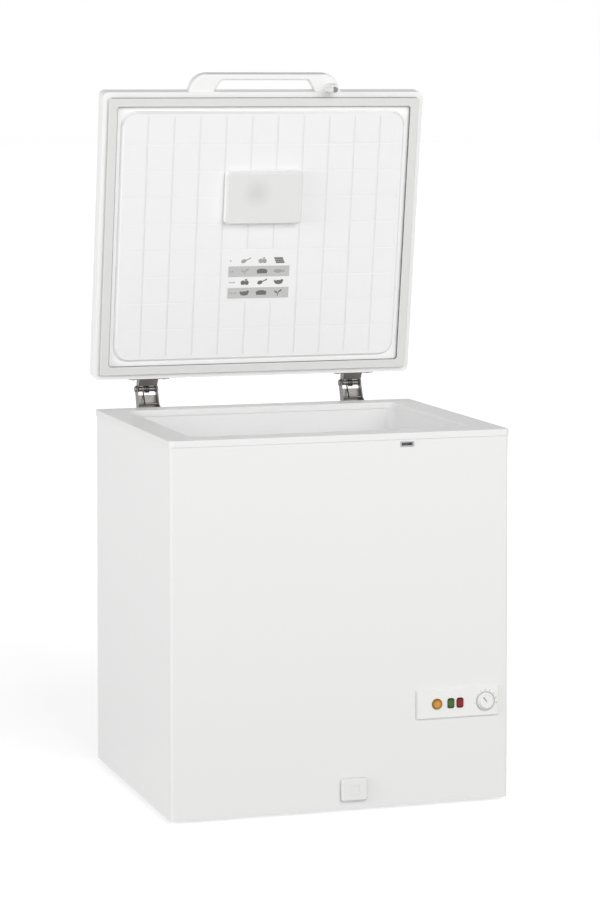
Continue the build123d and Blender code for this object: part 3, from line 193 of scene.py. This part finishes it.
def zinc_sheet():
    """Zinc coat: crystals of slightly different grey, half dull."""
    material = finish_of("zinc sheet", (0.62, 0.63, 0.64), 0.42, scale=18.0, mottle=0.08, metal=0.7)
    tree = material.node_tree
    place = tree.nodes.new("ShaderNodeTexCoord")
    crystal = tree.nodes.new("ShaderNodeTexVoronoi")
    crystal.inputs["Scale"].default_value = 55.0
    grey = tree.nodes.new("ShaderNodeValToRGB")
    grey.color_ramp.elements[0].color = (0.52, 0.53, 0.54, 1.0)
    grey.color_ramp.elements[1].color = (0.70, 0.71, 0.72, 1.0)
    tree.links.new(place.outputs["Object"], crystal.inputs["Vector"])
    tree.links.new(crystal.outputs["Color"], grey.inputs["Fac"])
    surface = next(node for node in tree.nodes if node.type == "GROUP")
    tree.links.new(grey.outputs["Color"], surface.inputs["Colour"])
    return material


zinc = zinc_sheet()
for node in ("rear_panel", "base_pan", "compartment_wall", "service_cover"):
    polished(node, zinc)


# Insulation: rigid foam, poured in between shell and tub, and between the lid's skin and its liner,
# where it sets and holds them together. It is hidden on all sides.

foam_yellow = (0.80, 0.70, 0.46)
foam_finish = finish_of("rigid foam", foam_yellow, 0.9, scale=120.0, mottle=0.15, relief=0.5)
for node in ("cabinet_foam", "lid_foam"):
    polished(node, foam_finish)


# Tub: pressed aluminium sheet with a white lacquer and a fine hammered grain, stepped on the right
# over the machine compartment. Its flange hangs on the shell's rim under the top frame.

tub_white = (0.80, 0.80, 0.80)
tub_finish = finish_of("tub lacquer", tub_white, 0.34, scale=320.0, mottle=0.02, relief=0.35)
polished("inner_liner", tub_finish)


# Top frame: white moulded plastic, snapped over the rim of shell and tub, with a skirt outside.
# The lid's gasket closes on its flat top.

frame_finish = finish_of("rim plastic", (0.78, 0.78, 0.775), 0.45, scale=90.0, mottle=0.02)
polished("top_frame", frame_finish, ease=0.0008)


# Machine compartment: black compressor on rubber grommets, its relay cover, copper lines and drier,
# and the two coils that lie against tub and shell. Feet and cord gland are rubber too, and the
# screws are plated steel.

black_enamel = finish_of("black enamel", (0.018, 0.018, 0.02), 0.35, scale=60.0, mottle=0.05)
black_plastic = finish_of("black plastic", (0.03, 0.03, 0.032), 0.5, scale=80.0, mottle=0.05)
black_rubber = finish_of("black rubber", (0.022, 0.022, 0.022), 0.75, scale=140.0, mottle=0.08)
copper = finish_of("drawn copper", (0.72, 0.36, 0.22), 0.3, scale=70.0, mottle=0.12, metal=1.0)
coated_tube = finish_of("coated steel tube", (0.35, 0.35, 0.36), 0.45, metal=0.8)
plated_grey = (0.55, 0.55, 0.53)
plated_steel = finish_of("plated steel", plated_grey, 0.34, scale=150.0, mottle=0.08, metal=1.0)
polished("compressor", black_enamel, ease=0.0012)
polished("relay_cover", black_plastic, ease=0.001)
for node in ("compressor_grommets", "feet", "cord_gland"):
    polished(node, black_rubber, ease=0.0006)
for node in ("suction_line", "discharge_line", "capillary_tube", "filter_drier", "evaporator_coil"):
    polished(node, copper, sharp=65.0)
polished("condenser_coil", coated_tube, sharp=65.0)
for node in ("compressor_studs", "service_cover_screws", "handle_screws"):
    polished(node, plated_steel)


# Side vent: black plastic grille with slanted slats, pushed into the right wall of the shell.
# It lets the air of the room reach the compressor.

polished("side_vent_grille", black_plastic, ease=0.0004)


# Control panel: white plastic bezel with bevelled edges, set into the front by its collar. Its left
# end is painted grey as painted shade. A faint dial scale is printed round the knob.

def further_finish(piece, material, covers):
    """One more material on the faces of a piece that a rule covers."""
    piece.data.materials.append(material)
    for face in piece.data.polygons:
        if covers(face):
            face.material_index = len(piece.data.materials) - 1


panel_plastic = finish_of("panel plastic", (0.80, 0.80, 0.79), 0.35, scale=120.0, mottle=0.012)
left_end_painted_shade = finish_of("panel end painted shade", (0.62, 0.62, 0.615), 0.45, scale=120.0, mottle=0.012)
panel_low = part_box("panel_bezel")[0]
end_depth = 0.0025


def at_left_end(face):
    """Whether a face of the bezel is at its left end and looks to the left."""
    return face.center.x < panel_low.x + end_depth and face.normal.x < -0.5


bezel = polished("panel_bezel", panel_plastic, ease=0.0005)
# Painted shade: the faces at the bezel's left end are painted grey.
further_finish(bezel, left_end_painted_shade, at_left_end)
for node in ("panel_box", "fast_freeze_switch", "thermostat_body", "thermostat_shaft"):
    polished(node, black_plastic)

print_ink = finish_of("grey print", (0.16, 0.16, 0.165), 0.6, scale=200.0, mottle=0.05)
knob_low, knob_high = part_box("thermostat_knob")
dial_centre = (knob_low + knob_high) / 2
dial_radius = (knob_high.x - knob_low.x) / 2
print_lift = 0.00006
ticks = 9
tick_sweep = 200.0
tick_width = 0.0009
tick_gap = 0.0032
shortest_tick = 0.0016
tick_growth = 0.0022


def add_flat(form, width, height, place):
    """Thin printed patch: a flat box moved and turned to its place."""
    size = Matrix.Diagonal((width, print_lift, height, 1.0))
    bmesh.ops.create_cube(form, size=1.0, matrix=place @ size)


def dial_scale():
    """Ticks round the knob that grow from the low end to the high end."""
    form = bmesh.new()
    for tick in range(ticks):
        angle = radians(-tick_sweep / 2 + tick_sweep * tick / (ticks - 1))
        length = shortest_tick + tick_growth * tick / (ticks - 1)
        reach = dial_radius + tick_gap + length / 2
        x = dial_centre.x + sin(angle) * reach
        z = dial_centre.z + cos(angle) * reach
        place = Matrix.Translation((x, panel_low.y, z)) @ Matrix.Rotation(angle, 4, "Y")
        add_flat(form, tick_width, length, place)
    return form


new_piece("dial_scale", dial_scale(), "cabinet", print_ink)


# Push button and signal lamps: caps of clear coloured plastic, amber, green and red, held in the
# panel. Their rims are painted darker, as painted shade of the domed caps.

def fade_round(material, middle, near, far, inner, outer):
    """Colour that goes from inner to outer with the distance from a point of the piece."""
    tree = material.node_tree
    place = tree.nodes.new("ShaderNodeTexCoord")
    distance = tree.nodes.new("ShaderNodeVectorMath")
    distance.operation = "DISTANCE"
    distance.inputs[1].default_value = middle
    fade = tree.nodes.new("ShaderNodeMapRange")
    fade.interpolation_type = "SMOOTHSTEP"
    fade.inputs["From Min"].default_value = near
    fade.inputs["From Max"].default_value = far
    shade = tree.nodes.new("ShaderNodeValToRGB")
    shade.color_ramp.elements[0].color = (*inner, 1.0)
    shade.color_ramp.elements[1].color = (*outer, 1.0)
    surface = next(node for node in tree.nodes if node.type == "GROUP")
    tree.links.new(place.outputs["Object"], distance.inputs[0])
    tree.links.new(distance.outputs["Value"], fade.inputs["Value"])
    tree.links.new(fade.outputs["Result"], shade.inputs["Fac"])
    tree.links.new(shade.outputs["Color"], surface.inputs["Colour"])


cap_flange = 0.0020
clear_part = 0.45
rim_shade_factor = 0.35


def clear_cap(node, colour, glow):
    """Cap of coloured transparent plastic: glossy, with a little light from within, and painted
    shade towards its rim.
    """
    material = finish_of(node + " cap", colour, 0.16, scale=160.0, mottle=0.04)
    shader = material.node_tree.nodes["Principled BSDF"]
    shader.inputs["Specular IOR Level"].default_value = 0.3
    shader.inputs["Emission Color"].default_value = (*colour, 1.0)
    shader.inputs["Emission Strength"].default_value = glow
    low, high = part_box(node)
    reach = (high.z - low.z) / 2 - cap_flange
    middle = ((low.x + high.x) / 2, low.y, (low.z + high.z) / 2)
    rim_painted_shade = [rim_shade_factor * level for level in colour]
    # Painted shade: the cap's colour darkens towards its rim.
    fade_round(material, middle, clear_part * reach, reach, colour, rim_painted_shade)
    polished(node, material, ease=0.0006)


clear_cap("fast_freeze_button", (0.56, 0.255, 0.03), 0.1)
clear_cap("green_lamp", (0.055, 0.115, 0.017), 0.06)
clear_cap("red_lamp", (0.24, 0.006, 0.010), 0.06)


# Thermostat knob: round white plastic, pushed on the thermostat's shaft, with a groove as pointer
# and a line of grey paint in the groove. Its skirt is painted grey as painted shade.

knob_white = (0.80, 0.80, 0.79)
skirt_painted_shade = (0.50, 0.50, 0.495)
knob_plastic = finish_of("knob plastic", knob_white, 0.35, scale=120.0, mottle=0.012)
knob_face = (dial_centre.x, knob_low.y, dial_centre.z)
white_until = 0.95 * dial_radius
grey_from = 1.1 * dial_radius
# Painted shade: the knob fades from white on its face to grey on its skirt.
fade_round(knob_plastic, knob_face, white_until, grey_from, knob_white, skirt_painted_shade)
polished("thermostat_knob", knob_plastic, ease=0.0004)
pointer_turn = radians(-38.0)
pointer_width = 0.0018
pointer_length = 0.0128
pointer_sunk = 0.0010
pointer_paint = finish_of("pointer paint", (0.24, 0.24, 0.245), 0.5, scale=200.0, mottle=0.05)
pointer_form = bmesh.new()
pointer_middle = Vector((dial_centre.x, knob_low.y + pointer_sunk, dial_centre.z))
pointer_place = (
    Matrix.Translation(pointer_middle)
    @ Matrix.Rotation(pointer_turn, 4, "Y")
    @ Matrix.Translation((0.0, 0.0, pointer_length / 2))
)
add_flat(pointer_form, pointer_width, pointer_length, pointer_place)
new_piece("knob_pointer", pointer_form, "thermostat", pointer_paint)


# Drain outlet: white plastic frame with a pull-out cap low on the front, a pipe through the foam,
# and a plug that lifts out of the tub floor. All are moulded of the same plastic.

drain_plastic = finish_of("drain plastic", (0.76, 0.76, 0.755), 0.35, scale=120.0, mottle=0.012)
for node in ("drain_spout", "drain_cap", "drain_plug", "drain_pipe"):
    polished(node, drain_plastic, ease=0.0005)


# Lock keeper: small cup of grey plastic, pushed into the front sheet below the rim.
# The lock's tongue turns into it.

polished("lock_keeper", finish_of("grey keeper", (0.45, 0.45, 0.45), 0.5), ease=0.0004)


# Lid skin: white enamelled sheet like the shell, drawn to a shallow tray with rounded edges.
# Lid pieces are measured as if shut, through the hinge's turn.

hinge = next(joint for joint in frame["joints"] if joint["name"] == "lid_hinge")
pivot = Vector(hinge["pos_m"])
lid_turn = (
    Matrix.Translation(pivot)
    @ Matrix.Rotation(radians(-hinge["range_deg"][0]), 4, Vector(hinge["axis"]))
    @ Matrix.Translation(-pivot)
)
lid_shut = lid_turn.inverted()


def shut_box(node):
    """Lowest and highest corner of a lid piece, with the lid shut."""
    points = [lid_shut @ vertex.co for vertex in frame["nodes"][node].data.vertices]
    low = Vector([min(point[axis] for point in points) for axis in range(3)])
    high = Vector([max(point[axis] for point in points) for axis in range(3)])
    return low, high


def shut_middle(face):
    """Middle of a face of a lid piece, with the lid shut."""
    return lid_shut @ face.center


# Painted light: the lid's enamel is a lighter copy of the shell's white.
polished("lid_outer_skin", enamel_of("lid enamel painted light", (0.85, 0.85, 0.845)), ease=0.0005)


# Lid liner: white plastic sheet, vacuum-formed with a raised field of squares in shallow grooves.
# The border and the walls of the field are glossier and painted whiter, as painted light against
# their shade, and the upright grooves are painted greyer, as painted shade.

def formed_sheet(name, grey, roughness):
    """The liner's plastic at one of its painted shades of light: nearly even, with a slow waviness.
    """
    return finish_of(name, (grey, grey, grey), roughness, scale=30.0, mottle=0.015, relief=0.04)


liner_plastic = formed_sheet("formed sheet", 0.805, 0.3)
border_painted_light = formed_sheet("formed border painted light", 0.92, 0.25)
groove_painted_shade = formed_sheet("formed groove painted shade", 0.757, 0.3)
wall_painted_light = formed_sheet("formed wall painted light", 0.98, 0.25)
liner_low, liner_high = shut_box("lid_inner_liner")
border_depth = 0.0030
wall_low = 0.0015
wall_high = 0.0066
front_wall = 0.0550
groove_depth = 0.0002
groove_width = 0.0040
liner = polished("lid_inner_liner", liner_plastic, ease=0.0005)


def liner_depth(face):
    """How far a face lies behind the raised field."""
    return shut_middle(face).z - liner_low.z


def on_wall(face):
    """Whether a face is on a wall of the field, other than the front one."""
    behind_front = shut_middle(face).y > liner_low.y + front_wall
    return wall_low < liner_depth(face) < wall_high and behind_front


def in_upright_groove(face):
    """Whether a face is the narrow floor of a groove that runs up the raised lid."""
    across = [liner.data.vertices[index].co.x for index in face.vertices]
    narrow = max(across) - min(across) < groove_width
    return groove_depth < liner_depth(face) < wall_low and narrow


# Painted light on the border and the walls, painted shade in the upright grooves.
further_finish(liner, border_painted_light, lambda face: liner_depth(face) > border_depth)
further_finish(liner, wall_painted_light, on_wall)
further_finish(liner, groove_painted_shade, in_upright_groove)


# Gasket: soft pale grey vinyl with a magnet strip inside, pressed into the groove between skin and
# liner. A dark strip inside its lip, and one along its front, is painted shade in the gaps.

gasket_vinyl = finish_of("gasket vinyl", (0.67, 0.67, 0.66), 0.5, scale=60.0, mottle=0.03)
polished("lid_gasket", gasket_vinyl, ease=0.0008)


def rounded_loop(form, half_width, half_depth, corner, height):
    """Corner points of a rectangle with round corners, level at a height."""
    steps = 6
    loop = []
    for quarter, (side, end) in enumerate(((1, 1), (-1, 1), (-1, -1), (1, -1))):
        for step in range(steps + 1):
            angle = (quarter + step / steps) * pi / 2
            x = side * (half_width - corner) + corner * cos(angle)
            y = end * (half_depth - corner) + corner * sin(angle)
            loop.append(form.verts.new((x, y, height)))
    return loop


gasket_low, gasket_high = shut_box("lid_gasket")
lip_width = 0.0200
lip_corner = 0.0060
shade_strip_thickness = 0.0004
shade_strip_sunk = 0.0012
shade_strip_reach = 0.0057
front_shade_strip_reach = 0.0062


def gasket_shade_strip():
    """Painted shade: a dark ring inside the lip, and a strip in front, in the gaps by the lip."""
    form = bmesh.new()
    half = (gasket_high - gasket_low) / 2
    low = gasket_low.z + shade_strip_sunk
    high = low + shade_strip_reach - shade_strip_sunk
    loops = []
    for inset, height in ((0, low), (0, high), (shade_strip_thickness, high), (shade_strip_thickness, low)):
        gap = lip_width + inset
        loops.append(rounded_loop(form, half.x - gap, half.y - gap, lip_corner, height))
    for first, second in zip(loops, loops[1:] + loops[:1]):
        for index in range(len(first)):
            form.faces.new((first[index - 1], first[index], second[index], second[index - 1]))
    bmesh.ops.recalc_face_normals(form, faces=form.faces)
    width = 2 * (half.x - lip_corner)
    depth = front_shade_strip_reach - shade_strip_sunk
    place = Matrix.Translation((0.0, -half.y - shade_strip_thickness / 2, low + depth / 2))
    size = Matrix.Diagonal((width, shade_strip_thickness, depth, 1.0))
    bmesh.ops.create_cube(form, size=1.0, matrix=place @ size)
    middle = (gasket_low + gasket_high) / 2
    form.transform(lid_turn @ Matrix.Translation((middle.x, middle.y, 0.0)))
    return form


# Painted shade: near-black strips where the gaps beside the gasket's lip lie in shade.
gasket_painted_shade = finish_of("gasket painted shade", (0.10, 0.10, 0.10), 0.6, scale=60.0, mottle=0.05)
new_piece("gasket_shade_strip", gasket_shade_strip(), "lid", gasket_painted_shade)


# Handle: moulded white arch, screwed to the front wall of the lid, with painted shade as a grey
# strip along its grip, and the lock's tower under its right leg. The lock is cast zinc, dark, with
# a bright tongue.

handle_plastic = finish_of("handle plastic", (0.82, 0.82, 0.815), 0.33, scale=120.0, mottle=0.012)
grip_painted_shade = finish_of("grip painted shade", (0.68, 0.68, 0.67), 0.5, scale=120.0, mottle=0.03)
handle_low = shut_box("lid_handle")[0]
grip_depth = 0.0030
grip_half = 0.1400


def on_grip(face):
    """Whether a face is on the front of the handle, between its legs."""
    point = shut_middle(face)
    return point.y < handle_low.y + grip_depth and abs(point.x) < grip_half


handle = polished("lid_handle", handle_plastic, ease=0.0006)
# Painted shade: the front of the grip between the legs is painted grey.
further_finish(handle, grip_painted_shade, on_grip)
polished("lock_tower", handle_plastic, ease=0.0006)
dark_zinc = finish_of("dark zinc", (0.20, 0.20, 0.20), 0.4, scale=150.0, mottle=0.1, metal=0.8)
bright_zinc = finish_of("bright zinc", (0.62, 0.62, 0.62), 0.4, scale=150.0, mottle=0.1, metal=0.3)
tongue_root = 0.1468
barrel = polished("lock_barrel", dark_zinc, ease=0.0003)
further_finish(barrel, bright_zinc, lambda face: shut_middle(face).x < tongue_root)


# Lamp in the lid: white base with the bulb's holder, a small bulb, and a frosted cover over both.
# The bulb's shadow is painted on the cover as a soft darker spot, and the cover's sides are painted
# whiter as painted light.

polished("lamp_base", panel_plastic, ease=0.0005)
bulb_glass = finish_of("bulb glass", (0.75, 0.75, 0.72), 0.1)
polished("lamp_bulb", bulb_glass)
bulb_low, bulb_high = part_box("lamp_bulb")
cover_low = shut_box("lamp_diffuser")[0]
cover_crown = 0.0025
cover_side_painted_light = finish_of("cover side painted light", (0.93, 0.93, 0.925), 0.3, scale=40.0, mottle=0.02)
cover_colour = (0.71, 0.71, 0.705)
bulb_painted_shadow = (0.60, 0.60, 0.595)
bulb_shadow_radius = 0.0450
frosted = finish_of("frosted cover", cover_colour, 0.35, scale=40.0, mottle=0.02)
# Painted shadow: the cover darkens round the point over the bulb.
fade_round(frosted, (bulb_low + bulb_high) / 2, 0.0, bulb_shadow_radius, bulb_painted_shadow, cover_colour)
cover = polished("lamp_diffuser", frosted, ease=0.0008)
# Painted light: the cover's sides are painted whiter than its face.
further_finish(cover, cover_side_painted_light, lambda face: shut_middle(face).z > cover_low.z + cover_crown)


# Storage chart: four rows of plain pictograms printed on the liner's blank block, every second row
# on a grey band, with a few dots at its start for the months that food keeps.

chart_row = 0.0252
chart_column = 0.0405
chart_width = 0.1460
chart_off_middle = 0.0950
first_drawing = -0.0330
first_dot = -0.0680
dot_step = 0.0050
dot_size = 0.0036
chart_y = 0.5 * (liner_low.y + liner_high.y) + chart_off_middle
chart_place = (
    lid_turn @ Matrix.Translation((0.0, chart_y, liner_low.z)) @ Matrix.Rotation(pi, 4, "X")
)


def on_chart(x, y, width, height, turn, layer):
    """Matrix of a unit shape: middle, size and turn on the chart, and its layer of ink."""
    place = chart_place @ Matrix.Translation((x, y, 0.0)) @ Matrix.Rotation(radians(turn), 4, "Z")
    return place @ Matrix.Diagonal((width, height, (2 + layer) * print_lift, 1.0))


def add_bar(form, x, y, width, height, turn=0.0, layer=0):
    """Printed rectangle."""
    bmesh.ops.create_cube(form, size=1.0, matrix=on_chart(x, y, width, height, turn, layer))


def add_disc(form, x, y, width, height, turn=0.0, sides=20, layer=0):
    """Printed oval, or a triangle with three sides."""
    place = on_chart(x, y, width, height, turn, layer)
    bmesh.ops.create_cone(
        form, cap_ends=True, segments=sides, radius1=0.5, radius2=0.5, depth=1.0, matrix=place
    )


def draw_fish(form, x, y):
    add_disc(form, x - 0.002, y, 0.022, 0.009)
    add_disc(form, x + 0.011, y, 0.009, 0.008, turn=180.0, sides=3, layer=1)


def draw_loaf(form, x, y):
    add_disc(form, x, y + 0.001, 0.026, 0.010)
    add_bar(form, x, y - 0.0025, 0.024, 0.005, layer=1)


def draw_boxes(form, x, y):
    for level in (-1, 0, 1):
        add_bar(form, x + 0.002 * level, y - 0.0048 * level, 0.021, 0.0042)


def draw_fruit(form, x, y):
    add_disc(form, x - 0.004, y - 0.001, 0.011, 0.011)
    add_disc(form, x + 0.005, y - 0.001, 0.010, 0.011, layer=1)
    add_disc(form, x + 0.003, y + 0.006, 0.007, 0.003, turn=30.0, layer=2)


def draw_leg(form, x, y):
    add_disc(form, x - 0.004, y - 0.001, 0.013, 0.009, turn=20.0)
    add_bar(form, x + 0.006, y + 0.003, 0.012, 0.0026, turn=25.0, layer=1)
    add_disc(form, x + 0.011, y + 0.0055, 0.004, 0.004, layer=2)


def draw_bird(form, x, y):
    add_disc(form, x, y - 0.001, 0.020, 0.010)
    add_disc(form, x + 0.008, y + 0.003, 0.007, 0.006, layer=1)
    add_disc(form, x - 0.009, y + 0.002, 0.008, 0.006, sides=3, layer=2)


def draw_sprig(form, x, y):
    add_bar(form, x, y - 0.002, 0.0018, 0.012, turn=-15.0)
    for side, height in ((-1, 0.001), (1, 0.004)):
        add_disc(form, x + 0.005 * side, y + height, 0.010, 0.004, turn=35.0 * side, layer=1)


chart_rows = (
    (draw_leg, draw_fruit, draw_boxes),
    (draw_sprig, draw_loaf, draw_fish),
    (draw_fruit, draw_leg, draw_bird),
    (draw_bird, draw_loaf, draw_sprig),
)
faint_drawings = ((0, 1), (0, 2), (), ())
band_ink = finish_of("chart band", (0.50, 0.50, 0.49), 0.5, scale=200.0, mottle=0.04)
mark_ink = finish_of("chart marks", (0.13, 0.13, 0.125), 0.5, scale=200.0, mottle=0.05)
faint_ink = finish_of("faint chart marks", (0.33, 0.33, 0.325), 0.5, scale=200.0, mottle=0.05)
chart_bands = bmesh.new()
chart_marks = bmesh.new()
faint_marks = bmesh.new()
for number, drawings in enumerate(chart_rows):
    row_y = ((len(chart_rows) - 1) / 2 - number) * chart_row
    if number % 2:
        place = chart_place @ Matrix.Translation((0.0, row_y, 0.0))
        size = Matrix.Diagonal((chart_width, chart_row, print_lift, 1.0))
        bmesh.ops.create_cube(chart_bands, size=1.0, matrix=place @ size)
    for dot in range(number + 1):
        add_disc(faint_marks, first_dot + dot_step * dot, row_y, dot_size, dot_size)
    for place_in_row, draw in enumerate(drawings):
        marks = faint_marks if place_in_row in faint_drawings[number] else chart_marks
        draw(marks, first_drawing + chart_column * place_in_row, row_y)
new_piece("chart_bands", chart_bands, "lid", band_ink)
new_piece("chart_marks", chart_marks, "lid", mark_ink)
new_piece("faint_chart_marks", faint_marks, "lid", faint_ink)


# Hinges: pressed steel brackets and leaves on a pin, zinc plated and screwed on, with an oiled
# torsion spring each. A spring's coil runs along its length, from the leg on the cabinet to the
# leg on the lid, and the spring stays where it stands, on neither body.

hinge_grey = (0.24, 0.23, 0.215)
wire_grey = (0.16, 0.16, 0.165)
hinge_steel = finish_of("hinge steel", hinge_grey, 0.46, scale=90.0, mottle=0.1, metal=0.85)
spring_wire = finish_of("spring wire", wire_grey, 0.32, scale=120.0, mottle=0.1, metal=0.9)
for side in ("left", "right"):
    polished("hinge_bracket_" + side, hinge_steel, ease=0.0005)
    polished("hinge_leaf_" + side, hinge_steel, ease=0.0005)
    polished("hinge_pin_" + side, hinge_steel, ease=0.0004)
    spring = polished("hinge_spring_" + side, spring_wire, sharp=65.0, rides=False)
    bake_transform(spring)
for node in ("hinge_bracket_screws", "hinge_leaf_screws"):
    polished(node, plated_steel)


# Studio: a pale floor that grows lighter far back, a white room with a darker ceiling, a large soft
# light high at the front, weaker ones at the left and behind, and a small one down in the tub.

floor_reach = 60.0
floor_near = 1.0
floor_far = 5.0
glow_near = 0.46
glow_far = 0.75
floor_form = bmesh.new()
bmesh.ops.create_grid(floor_form, x_segments=1, y_segments=1, size=floor_reach)
floor_mesh = bpy.data.meshes.new("studio_floor")
floor_form.to_mesh(floor_mesh)
floor_form.free()
floor = bpy.data.objects.new("studio_floor", floor_mesh)
floor_paint = bpy.data.materials.new("studio floor")
floor_paint.use_nodes = True
floor_nodes = floor_paint.node_tree.nodes
floor_shader = floor_nodes["Principled BSDF"]
floor_shader.inputs["Base Color"].default_value = (0.82, 0.82, 0.82, 1.0)
floor_shader.inputs["Roughness"].default_value = 0.9
floor_shader.inputs["Emission Color"].default_value = (1.0, 1.0, 1.0, 1.0)
floor_place = floor_nodes.new("ShaderNodeTexCoord")
floor_distance = floor_nodes.new("ShaderNodeVectorMath")
floor_distance.operation = "LENGTH"
floor_glow = floor_nodes.new("ShaderNodeMapRange")
floor_glow.inputs["From Min"].default_value = floor_near
floor_glow.inputs["From Max"].default_value = floor_far
floor_glow.inputs["To Min"].default_value = glow_near
floor_glow.inputs["To Max"].default_value = glow_far
floor_links = floor_paint.node_tree.links
floor_links.new(floor_place.outputs["Object"], floor_distance.inputs[0])
floor_links.new(floor_distance.outputs["Value"], floor_glow.inputs["Value"])
floor_links.new(floor_glow.outputs["Result"], floor_shader.inputs["Emission Strength"])
floor_mesh.materials.append(floor_paint)
floor.visible_diffuse = False
scene.collection.objects.link(floor)

room = bpy.data.worlds.new("studio room")
room.use_nodes = True
room_nodes = room.node_tree.nodes
room_direction = room_nodes.new("ShaderNodeTexCoord")
room_height = room_nodes.new("ShaderNodeSeparateXYZ")
room_part = room_nodes.new("ShaderNodeMapRange")
room_part.inputs["From Min"].default_value = -1.0
room_shade = room_nodes.new("ShaderNodeValToRGB")
room_stops = room_shade.color_ramp.elements
room_ground = (0.45, 0.45, 0.45, 1.0)
room_walls = (1.0, 1.0, 1.0, 1.0)
room_ceiling = (0.33, 0.33, 0.33, 1.0)
room_stops[0].position = 0.34
room_stops[0].color = room_ground
room_stops[1].position = 0.80
room_stops[1].color = room_ceiling
for wall_height in (0.49, 0.56):
    room_stops.new(wall_height).color = room_walls
room.node_tree.links.new(room_direction.outputs["Generated"], room_height.inputs["Vector"])
room.node_tree.links.new(room_height.outputs["Z"], room_part.inputs["Value"])
room.node_tree.links.new(room_part.outputs["Result"], room_shade.inputs["Fac"])
room.node_tree.links.new(room_shade.outputs["Color"], room_nodes["Background"].inputs["Color"])
scene.world = room


def soft_light(name, place, target, size, power):
    """Square light aimed at a point, unseen itself."""
    data = bpy.data.lights.new(name, "AREA")
    data.shape = "SQUARE"
    data.size = size
    data.energy = power
    light = bpy.data.objects.new(name, data)
    light.location = place
    aim = Vector(target) - light.location
    light.rotation_euler = aim.to_track_quat("-Z", "Y").to_euler()
    light.visible_camera = False
    scene.collection.objects.link(light)


tub_low, tub_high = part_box("inner_liner")
tub_middle = (tub_low + tub_high) / 2
tub_light_drop = 0.16
tub_light_place = (tub_middle.x, tub_middle.y, tub_high.z - tub_light_drop)
rim_middle = (0.0, 0.0, 0.8)
soft_light("key light", (0.9, -4.6, 3.0), rim_middle, size=3.4, power=134.0)
soft_light("side light", (-5.0, -1.3, 1.6), rim_middle, size=2.6, power=92.0)
soft_light("back light", (4.4, 3.8, 2.4), rim_middle, size=2.6, power=50.0)
soft_light("tub light", tub_light_place, tub_middle, size=0.42, power=0.8)


# Camera: at the photograph's place, a long lens held nearly level and shifted down.
# Its distance is measured from the front of the cabinet.

cabinet_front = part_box("outer_shell")[0].y
camera_left = 2.012
camera_distance = 6.052
camera_height = 1.559
camera_tilt = 3.27
camera_turn = 17.59
camera_data = bpy.data.cameras.new("camera")
camera_data.lens = 121.84
camera_data.sensor_width = 36.0
camera_data.shift_y = -0.2222
camera_data.clip_end = 200.0
camera = bpy.data.objects.new("camera", camera_data)
camera.location = (-camera_left, cabinet_front - camera_distance, camera_height)
camera.rotation_euler = (radians(90.0 - camera_tilt), 0.0, radians(-camera_turn))
scene.collection.objects.link(camera)
scene.camera = camera
scene.view_settings.view_transform = "Standard"
